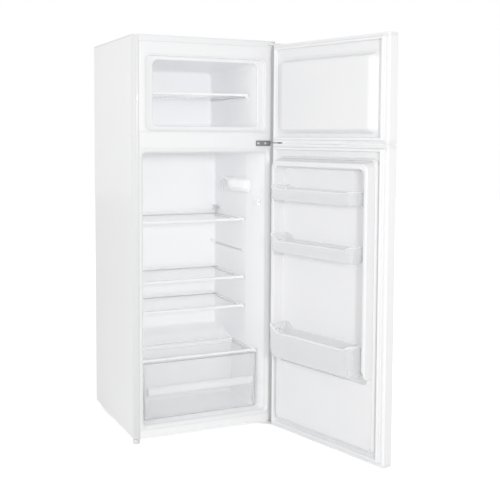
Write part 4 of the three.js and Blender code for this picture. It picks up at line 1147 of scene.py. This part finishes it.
def clear_block(part, rim):
    """A solid of clear stock, marked all over as cut edge to the stated share."""
    verts, faces = part
    return verts, faces, np.full(len(verts), rim)


def add_door(name, low, high, panel, grip_at):
    """A door's skin, its two end caps, of which one is hollowed for the hand, and its inner panel."""
    folded = [door_skin(low, high)]
    piece(f"{name}_shell", name, "white_steel", DOOR_ENAMEL_SHADED, folded, [f"{name}_skin"], in_door)
    for end, edge, up in (("top", high, 1), ("bottom", low, -1)):
        parts = [gripped_cap(edge, up) if end == grip_at else plain_cap(edge, up), plug(edge, up)]
        if end == grip_at == "bottom":
            parts += door_skirt(edge)
        piece(f"{name}_{end}_end", name, "grey_plastic", CAPS, parts, [f"{name}_{end}_cap"], in_door)
    inner, sheet = [panel(low, high)], {"crease": 50, "wall": 1.3}
    piece(f"{name}_inner", name, "white_plastic", DOOR_LINER_SHADED, inner, [f"{name}_liner"], in_door, **sheet)


def add_doors():
    """Both doors with their seals, and the bins with the lugs that they hang on."""
    add_door("freezer_door", *FREEZER_DOOR, freezer_panel, "bottom")
    add_door("fridge_door", *FRIDGE_DOOR, fridge_panel, "top")
    for name in ("freezer_door", "fridge_door"):
        node = f"{name}_gasket"
        piece(f"{name}_seal", name, "rubber", SEAL, [gasket(node)], [node], in_door, crease=50)
    lugs = [
        brick(s0, s1, 18, 32, rim - 20.5, rim - 8.5, 1.2, 2)
        for _, rim, *_ in BINS.values() for s0, s1 in ((55, 74.4), (470.6, 490))
    ]
    piece("bin_lugs", "fridge_door", "white_plastic", DOOR_LINER_SHADED, lugs, place=in_door)
    for name, (low, rim, *ears) in BINS.items():
        tub = [door_bin(low, rim, *ears)]
        for s0, s1 in ((66.4, 78), (467, 478.6)):
            tub.append(clear_block(brick(s0, s1, 19, 31, rim - 8, rim - 4, 0.8, 1.5), 0.35))
        piece(f"{name}_tub", name, "clear_plastic", BIN, tub, [name], in_door, crease=40)


# ---------------------------------------------------------------- shelves and crisper
def glass_sheet(node):
    """A sheet of glass: rounded outlines close together at its ground rims, marked there as cut edges."""
    (x0, y0, low), (x1, y1, high) = extent(node)
    corner, insets = 6, [4, 1.6, 0.4, 0, 0, 0.4, 1.6, 4]
    heights = [low, low, low, low + 0.4, high - 0.4, high, high, high]
    rings = [
        level(rounded(x0 + inset, y0 + inset, x1 - inset, y1 - inset, corner - inset, 5), z)
        for inset, z in zip(insets, heights)
    ]
    verts, faces = tube(rings)
    return verts, faces, np.repeat([0, 0, 0.35, 0.45, 0.45, 0.35, 0, 0], len(rings[0]))


def edge_trim(half, node, reach, wall, rear=False):
    """A C profile with a rolled nose that grips a glass sheet's front or rear edge, carried along x."""
    (_, front, low), (_, back, high) = extent(node)
    under, over, nose = low - GAP, high + GAP, -GAP - wall
    line = [(reach, under - wall), (reach, under), (-GAP, under), (-GAP, over)]
    line += [(reach, over), (reach, over + wall), (nose, over + wall), (nose, under - wall)]
    rounds = [0.5, 0.5, 0.1, 0.1, 0.5, 0.8, 1.1, 1.1]
    profile = softened(line, rounds, 3)
    profile = profile * (-1, 1) + (back, 0) if rear else profile + (front, 0)
    return bar(profile, -half, half, "x", 0.4)


def add_shelves():
    """Three glass shelves, each with a front trim, a rear rail and a stop on it; the freezer's shelf."""
    for number, top in enumerate(SHELF_TOPS, 1):
        name = f"shelf_{number}"
        pane = f"{name}_glass"
        piece(f"{name}_pane", name, "glass", GLASS, [glass_sheet(pane)], [pane])
        nose = edge_trim(214, pane, 9, 2.2)
        piece(f"{name}_front_rail", name, "white_plastic", TRIM, [nose], [f"{name}_front_trim"])
        half, high = 207.5, top + 11
        stop = plate(lambda i: rounded(-half + i, top + i, half - i, high - i, 2, 3), 432.3, 434.5, "y", 0.6)
        rail = edge_trim(half, pane, 7, 2.2, rear=True)
        piece(f"{name}_rear_rail", name, "white_plastic", TRIM, [rail, stop], [f"{name}_rear_trim"])
    pane = "freezer_shelf_glass"
    piece("freezer_shelf_pane", "freezer_shelf", "glass", GLASS, [glass_sheet(pane)], [pane])
    nose = edge_trim(191, pane, 9, 1.3)
    piece("freezer_shelf_rail", "freezer_shelf", "white_plastic", TRIM, [nose], ["freezer_shelf_front_trim"])


def crisper_drawer():
    """A clear tub with rounded upright corners that widens upwards, and a rolled pull across its front."""

    def ring(inset, z, wall=0.0):
        """An outline at one height, drawn in by the inset and by the wall."""
        x, y0, y1 = 211 - inset - wall, 60 + inset / 2 + wall, 266 - inset - wall
        return level(rounded(-x, y0, x, y1, 16 - wall / 2, 7), z)

    outside = [ring(11, 74.4), ring(8.6, 74.9), ring(6.6, 77.4), ring(5, 84), ring(0, 269.5), ring(0, 272)]
    inside = [ring(0.2, 272, 2.3), ring(0.4, 269, 2.5)]
    inside += [ring(5, 88, 2.5), ring(7.5, 79.5, 2.5), ring(12, 77, 2.5)]
    verts, faces = tube(outside + inside)
    marks = np.repeat([0.15, 0.2, 0.15, 0, 0, 0.5, 0.5, 0, 0, 0.1, 0.1], len(outside[0]))
    pull = [[58.5, 190], [53, 188.5], [47, 184], [45, 176], [46.5, 168], [51, 162], [58.5, 159]]
    pull = bar(softened(pull, [0.3, 2, 3, 3, 3, 2, 0.3], 3), -204, 204, "x", 1.6)
    return [(verts, faces, marks), clear_block(pull, 0.5)]


def crisper_face():
    """The drawer's flat front: nested slanted outlines, marked as cut edges along its two upright sides."""
    insets, depths = [4, 1.4, 0.3, 0, 0, 0.3, 1.4, 4], [57, 57, 57, 57.4, 60.4, 60.8, 60.8, 60.8]
    rings = []
    for inset, y in zip(insets, depths):
        low, high, foot, head = 74.4 + inset, 277 - inset, 217 - inset, 222 - inset
        outline = softened([[-foot, low], [foot, low], [head, high], [-head, high]], 3, 3)
        rings.append(level(outline, y, "y"))
    verts, faces = tube(rings)
    marks = np.repeat([0, 0.5, 0.8, 0.9, 0.9, 0.8, 0.5, 0], len(rings[0]))
    return verts, faces, 0.05 + marks * smooth(np.abs(verts[:, 0]), 212, 215)


def add_crisper():
    """The glass that covers the drawer, and the drawer itself."""
    pane = "crisper_cover_glass"
    piece("crisper_pane", "crisper_cover", "glass", GLASS, [glass_sheet(pane)], [pane])
    nose = edge_trim(222, pane, 9, 1.3)
    piece("crisper_rail", "crisper_cover", "white_plastic", TRIM, [nose], ["crisper_cover_trim"])
    body = "crisper_drawer"
    piece("crisper_tub", body, "clear_plastic", DRAWER, crisper_drawer(), ["crisper_drawer"], crease=40)
    piece("crisper_face", body, "clear_plastic", DRAWER_FACE, [crisper_face()])


# ---------------------------------------------------------------- hinges, screws and feet
PIN_X, PIN_Y, PIN_RADIUS = SIDE - PIN_INSET, -40, 3.5
PLATE = 3  # thickness of the hinge plates
UPPER_PLATE, MIDDLE_PLATE, LOWER_PLATE, LOWER_SEAT = 1415.3, 1061.5, 22.4, 26.7  # their undersides
HINGE_BOLTS = [(200, 30), (228, 30), (214, 52)]
HINGE_SCREWS, SCREW_HEIGHT = {"left": 198, "right": 226}, 1061


def arm(left, right, root, low):
    """A hinge arm: straight flanks from its root to a round end over the pin, one plate thick."""
    end = arc(PIN_X, PIN_Y, 11, -137, 0, 14)
    outline = np.concatenate([[[left, root], [257, -47.5]], end, [[right, root]]])
    return bar(outline, low, low + PLATE, "z", 0.5)


def pin(low, high):
    """A hinge pin with a domed tip at each end."""
    turn = np.radians(np.linspace(0, 90, 5))
    r, rise = np.maximum(PIN_RADIUS * np.sin(turn), POLE), 1.2 * (1 - np.cos(turn))
    profile = list(zip(r, low + rise)) + list(zip(r[::-1], high - rise[::-1]))
    return turned(profile, (PIN_X, PIN_Y, 0), "z", 24)


def cross_head(x, y, z, radius, height):
    """A pan head on the axis y: rings whose depth follows a dome, sunk by two crossed grooves."""
    angle = np.linspace(0, 2 * math.pi, 48, endpoint=False)

    def groove(across, along):
        """1 inside a groove that runs along the second direction, 0 outside it."""
        narrow = smooth(-np.abs(across), -0.16 * radius, -0.08 * radius)
        return narrow * smooth(-np.abs(along), -0.56 * radius, -0.5 * radius)

    rings = [np.stack([x + radius * np.cos(angle), np.full_like(angle, y), z + radius * np.sin(angle)], -1)]
    for share in (1.0, 0.95, 0.85, 0.7, 0.55, 0.5, 0.4, 0.28, 0.22, 0.12, 0.04):
        u, v = share * radius * np.cos(angle), share * radius * np.sin(angle)
        dome = height * math.sqrt(1 - (0.92 * share) ** 2)
        sunk = 0.55 * height * np.maximum(groove(u, v), groove(v, u))
        rings.append(np.stack([x + u, y - dome + sunk, z + v], -1))
    return tube(rings)


def add_hinges():
    """The three hinge plates with their pins, and the screws and bolts that show."""
    high = UPPER_PLATE + PLATE
    upper = [arm(237, 251.6, -2, UPPER_PLATE), brick(237, 251.6, -4, 6, UPPER_PLATE, high, 0.4)]
    upper += [brick(196, 250, 5, 62, UPPER_PLATE, high, 0.5, 4), pin(1396, high + GAP)]
    piece("upper_hinge_plate", "cabinet", "white_steel", ENAMEL, upper, ["upper_hinge"])

    face = -GAP - PLATE
    bracket = plate(lambda i: rounded(189 + i, 1051 + i, 247 - i, 1071 - i, 3 - i), face, -GAP, "y", 0.5)
    collar = turned([(POLE, 1059.9), (7, 1059.9), (7, 1061.6), (POLE, 1061.6)], (PIN_X, PIN_Y, 0), "z", 28)
    middle = [bracket, arm(233, 247, -1, MIDDLE_PLATE), pin(1043.5, 1082.5), collar]
    piece("middle_hinge_plate", "cabinet", "black_metal", HINGE_GREY, middle, ["middle_hinge"])
    for side, x in HINGE_SCREWS.items():
        shank = turned([(POLE, -3.7), (2, -3.7), (2, 12), (POLE, 14)], (x, 0, SCREW_HEIGHT), "y", 16)
        screw = [cross_head(x, -3.6, SCREW_HEIGHT, 4.3, 1.8), shank]
        piece(f"hinge_screw_{side}", "cabinet", "zinc", ZINC, screw, [f"middle_hinge_screw_{side}"])

    seat = brick(186, 245, 4, 66, LOWER_SEAT, LOWER_SEAT + PLATE, 0.5, 4)
    joggle = brick(214, 245, 1, 7, LOWER_PLATE, LOWER_SEAT + PLATE, 0.5, 1)
    lower = [seat, joggle, arm(214, 245, 4, LOWER_PLATE), pin(22.2, 41)]
    piece("lower_hinge_plate", "cabinet", "white_steel", ENAMEL, lower, ["lower_hinge"])
    bolt = [(POLE, 26.8), (5, 26.8), (5, 25.6), (3.5, 24.4), (POLE, 24)]
    bolts = [turned(bolt, (x, y, 0), "z", 20) for x, y in HINGE_BOLTS]
    piece("lower_hinge_bolts", "cabinet", "zinc", ZINC, bolts)


def knurled(profile, centre, ribs, depth):
    """A turned shape whose rim is notched: the radius swings with the angle where it is near its largest."""
    profile = np.asarray(profile, float)
    angle = np.linspace(0, 2 * math.pi, ribs * 6, endpoint=False)
    widest = profile[:, 0].max()
    circle, notches = np.stack([np.cos(angle), np.sin(angle)], -1), np.clip(np.cos(angle * ribs) * 2, -1, 0)
    rings = []
    for radius, z in profile:
        r = radius + depth * smooth(radius, widest - 2.5, widest - 0.5) * notches
        rings.append(level(circle * r[:, None] + centre, z))
    return tube(rings)


def add_feet():
    """Two levelling feet with notched pads and threads in front, two plain stubs behind."""
    pad = [(POLE, 11), (11, 11), (12.1, 11.8), (12.5, 13), (12.5, 26), (11.8, 27.4)]
    neck = [(8, 27.9), (8, 29.6), (5, 29.7)]
    thread = [(5 - 0.5 * (i % 2), 29.8 + 0.45 * i) for i in range(30)]
    stub = [(POLE, 11), (12, 11), (13.6, 12.2), (14, 14), (14, 25), (12.5, 27), (12.5, 29.7), (POLE, 29.7)]
    for name, hand in (("left", -1), ("right", 1)):
        body = f"front_foot_{name}"
        foot = knurled(pad + neck + thread + [(4, 44), (POLE, 44)], (hand * 259, 16), 18, 0.8)
        piece(f"levelling_foot_{name}", body, "grey_plastic", FOOT_PLASTIC_SHADED, [foot], [body])
        rear = turned(stub, (hand * 235, 470, 0), "z", 32)
        piece(f"rear_stub_{name}", "cabinet", "black_plastic", BLACK_PLASTIC, [rear], [f"rear_foot_{name}"])


# ---------------------------------------------------------------- machinery in the bay
CAN_X, CAN_Y, CAN_RADIUS = -40, 415, 72  # the compressor's shell
CAN_LOW, SEAM_LOW, SEAM_HIGH, CAN_HIGH = 51, 124, 132, 205
CARRIER_STEEL = 2  # thickness of the pressed plate that the compressor stands on
GLAND_X, GLAND_Z = 193, 49


def compressor_can():
    """The compressor's shell, turned round z: a bowl and a dome that meet at a welded seam."""
    r = CAN_RADIUS
    bowl = [(POLE, CAN_LOW), (48, CAN_LOW), (r, 73), (r, SEAM_LOW)]
    dome = [(r, SEAM_HIGH), (r, 165), (56, 193), (26, CAN_HIGH), (POLE, CAN_HIGH)]
    seam = [(r, SEAM_LOW), (r + 3.4, SEAM_LOW), (r + 4, 124.8), (r + 4, 127.6), (r + 2.6, 128)]
    seam += [(r + 4, 128.4), (r + 4, 131.2), (r + 3.4, SEAM_HIGH), (r, SEAM_HIGH)]
    bowl_bends = softened(bowl, [0, 10, 14, 0], 6)[7:-7]
    dome_bends = softened(dome, [0, 14, 12, 12, 0], 6)[7:-7]
    profile = [bowl[0], *bowl_bends, *seam, *dome_bends, dome[-1]]
    return turned(profile, (CAN_X, CAN_Y, 0), "z", 72)


def add_compressor():
    """The compressor on four rubber buffers, with its bolts and pipe stubs, on its carrier."""
    x, y = CAN_X, CAN_Y
    legs = bar(rounded(x - 95, y - 58, x + 95, y + 58, 14, 8), 48, 54, "z", 1.2)
    spots = [(x + dx, y + dy, 0) for dx in (-80, 80) for dy in (-45, 45)]
    mount = [(POLE, 32.3), (10, 32.3), (10, 38), (8.2, 39.4), (8.2, 41.4), (10, 43), (10, 48.2), (POLE, 48.2)]
    bolt = [(POLE, 53.8), (6.2, 53.8), (6.2, 57), (5.4, 58), (POLE, 58)]
    stubs = []
    for stub_x, start in ((x - 30, y - 66), (x - 8, y - 70)):
        stubs.append(pipe([(stub_x, at, 92) for at in (start, y - 80, y - 86)], 3, 12))
    can = [compressor_can(), legs]
    piece("compressor_can", "cabinet", "black_metal", MACHINE_BLACK, can, ["compressor"], crease=28)
    buffers = [turned(mount, spot, "z", 24) for spot in spots]
    piece("compressor_buffers", "cabinet", "black_plastic", BLACK_PLASTIC, buffers)
    piece("compressor_bolts", "cabinet", "zinc", ZINC, [turned(bolt, spot, "z", 6) for spot in spots])
    piece("compressor_stubs", "cabinet", "copper", COPPER, stubs)

    (_, front, low), (_, back, high) = extent("compressor_plate")
    inner = low + CARRIER_STEEL
    trough = [[back, high], [back, low], [front, low], [front, high]]
    trough += [[front + CARRIER_STEEL, high], [front + CARRIER_STEEL, inner]]
    trough += [[back - CARRIER_STEEL, inner], [back - CARRIER_STEEL, high]]
    carrier = bar(softened(trough, [0.5, 2.5, 2.5, 0.5, 0.5, 1.2, 1.2, 0.5], 3), -268, 268, "x", 0.5)
    piece("compressor_carrier", "cabinet", "zinc", ZINC, [carrier], ["compressor_plate"])


def drip_basin():
    """A shallow tub: rounded outlines that widen upwards outside, turn over a rim and go down inside."""
    (x0, y0, low), (x1, y1, high) = extent("evaporation_tray")

    def ring(inset, z, wall=0.0):
        """An outline at one height, drawn in by the inset and by the wall."""
        edge = inset + wall
        return level(rounded(x0 + edge, y0 + edge, x1 - edge, y1 - edge, 14 - edge / 2, 7), z)

    outside = [ring(8, low), ring(6, 208), ring(5.2, 210), ring(1, 233), ring(-0.2, 235.4), ring(0, high)]
    return tube(outside + [ring(0, high, 1.8), ring(0.4, 235, 2), ring(5, 212, 2), ring(6.5, 209.6, 2)])


def gland():
    """The cord inlet: a block with a collar round its hole, and apart from them a dark disc that paints the
    shade in the hole.
    """
    block = plate(lambda i: rounded(180 + i, 32.3 + i, 206 - i, 57 - i, 3), 474, 495, "y", 1.2)
    turn = np.linspace(0, 2 * math.pi, 28, endpoint=False)
    circle = np.stack([np.cos(turn), np.sin(turn)], -1)
    profile = ((7.4, 494.8), (7.4, 497.4), (6.6, 498.2), (4.6, 498.2), (4.2, 497.6), (4.2, 494.8))
    collar = hoop([level(circle * r + (GLAND_X, GLAND_Z), at, "y") for r, at in profile])
    # a dark disc that paints the shade inside the hole
    floor = [(POLE, 495.1), (4.2, 495.1), (4.2, 495.4), (POLE, 495.4)]
    return [block, collar], turned(floor, (GLAND_X, 0, GLAND_Z), "y", 24)


def add_machinery():
    """What stands in the open bay at the bottom of the back."""
    add_compressor()
    piece("drip_basin", "cabinet", "white_plastic", TRIM, [drip_basin()], ["evaporation_tray"], crease=40)
    relay = plate(lambda i: rounded(-150 + i, 389 + i, -117 - i, 441 - i, 4 - i / 2), 88, 150, edge=2)
    clip = plate(lambda i: rounded(-151 + i, 411 + i, -117 - i, 419 - i, 1), 86, 152, edge=0.5)
    piece("relay_case", "cabinet", "black_plastic", BLACK_PLASTIC, [relay, clip], ["relay_cover"])
    route = [(36, CAN_Y, 150), (95, 430, 150), (122, 448, 168), (126, 452, 215), (126, 452, 276)]
    line = pipe(curve_through(route, 10), 4, 20)
    piece("suction_line", "cabinet", "copper", COPPER, [line], ["suction_tube"])
    inlet, shadow = gland()
    piece("cord_inlet_gland", "cabinet", "black_plastic", BLACK_PLASTIC, inlet, ["mains_cord_gland"])
    piece("cord_inlet_shadow", "cabinet", "black_plastic", MACHINE_BLACK, [shadow])


# ---------------------------------------------------------------- lamp, thermostat and door switch
HOUSING_FACE = 195  # from the middle of the cabinet
DIAL_Y, DIAL_Z, DIAL_RIBS = 300, 897, 36


def lamp_housing():
    """A block on the right wall: its plan carried up z with soft rims, its ends slanted to the wall."""
    (_, front, low), (_, back, high) = extent("thermostat_housing")

    def plan(inset):
        """The block's plan, drawn in by the inset."""
        face = HOUSING_FACE + inset
        corners = [[215.6, back - inset], [face, back - 8 - inset], [face, front + 2 + inset]]
        corners += [[face + 2, front + inset], [221, 124 + inset], [217.8, 150]]
        return softened(corners, [0.5, 7, 1.2, 1.2, 0.5, 0.5], 4)[::-1]

    return plate(plan, low, high, "z", 3.5)


def lamp_lens():
    """A milky cover: rounded outlines that step in towards a slightly crowned face."""
    (_, y0, z0), (_, y1, z1) = extent("lamp_lens")
    profile = [(0, 194.7), (0, 192.4), (0.5, 190.6), (1.6, 189.2)]
    profile += [(3.6, 187.6), (6, 186.6), (9, 186.1), (13, 185.9)]
    return tube([
        level(rounded(y0 + inset, z0 + inset, y1 - inset, z1 - inset, max(14 - inset, 1.5), 8), x, "x")
        for inset, x in profile
    ])


def dial():
    """A round knob whose radius ripples round its rim, with a finger bar across it and a mark on the bar."""
    angle = np.linspace(0, 2 * math.pi, 4 * DIAL_RIBS, endpoint=False)
    circle, ripple = np.stack([np.cos(angle), np.sin(angle)], -1), 0.35 * np.cos(angle * DIAL_RIBS)
    y, z = DIAL_Y, DIAL_Z
    rim = [level(circle * (r + ripple)[:, None], x, "x") for r, x in ((18, 194), (18, 190.4), (17.2, 188.9))]
    face = [level(circle * r, x, "x") for r, x in ((15.5, 188), (11, 187.8), (POLE, 187.8))]
    disc = tube(np.array(rim + face) + (0, y, z))

    def upright(half, low, high, radius):
        """An outline on the dial: half its width, its ends from the middle, the radius of its corners."""
        return lambda i: rounded(y - half + i, z + low + i, y + half - i, z + high - i, radius(i))

    finger_bar = plate(upright(3, -16, 16, lambda i: 2.9 - i), 184, 189, "x", 1.2)
    mark = plate(upright(0.7, 8, 14, lambda i: 0.6), 183.8, 184.4, "x", 0.1)
    shaft = turned([(POLE, 190), (3, 190), (3, 207), (POLE, 207)], (0, y, z), "x", 16)
    return [disc, finger_bar, shaft], mark


def add_lamp_group():
    """The lamp and thermostat in their housing, and the light switch near the door opening."""
    block = lamp_housing()
    piece("lamp_and_dial_housing", "cabinet", "white_plastic", LINER, [block], ["thermostat_housing"])
    piece("lamp_cover", "cabinet", "white_plastic", LENS, [lamp_lens()], ["lamp_lens"])
    cap = [(POLE, 130), (5, 130), (5, 139)]
    glow = [(6, 141), (8, 146), (8, 176), (6.6, 182), (3.6, 184.6), (POLE, 185)]
    bulb = turned(cap + glow, (200.5, 0, 904), "y", 28)
    piece("bulb", "cabinet", "glass", BULB, [bulb], ["lamp_bulb"])
    knob, mark = dial()
    piece("dial", "thermostat_knob", "grey_plastic", GRAINED, knob, ["thermostat_knob"])
    piece("dial_mark", "thermostat_knob", "black_plastic", BLACK_PLASTIC, [mark])

    socket = []
    for inset, y in ((0, 63), (0, 44.2), (0.6, 43.2), (1.6, 43)):
        outline = rounded(215 + inset, 832 + inset, 227.5 - inset, 854 - inset, 3 - inset)
        socket.append(level(outline, y, "y"))
    piece("switch_case", "cabinet", "white_plastic", LINER, [tube(socket)], ["light_switch_body"])
    profile = [(POLE, 36.5), (2.4, 36.6), (3.2, 37.4), (3.4, 38.6), (3.4, 51), (POLE, 51)]
    button = [turned(profile, (221, 0, 843), "y", 24)]
    piece("switch_button", "light_switch_plunger", "grey_plastic", GRAINED, button, ["light_switch_plunger"])


# ---------------------------------------------------------------- foam and evaporator
def finish_hidden_nodes():
    """The foam and the evaporator keep their own meshes and only take a finish."""
    finishes = {"insulation_foam": FOAM, "freezer_door_foam": FOAM, "fridge_door_foam": FOAM}
    finishes["evaporator_plate"] = ZINC
    for node, material in finishes.items():
        for held in bpy.data.objects[node].material_slots:
            held.material = material


# ---------------------------------------------------------------- the scene
add_camera()
add_studio()
add_shell()
add_liners()
add_doors()
add_shelves()
add_crisper()
add_hinges()
add_feet()
add_machinery()
add_lamp_group()
finish_hidden_nodes()
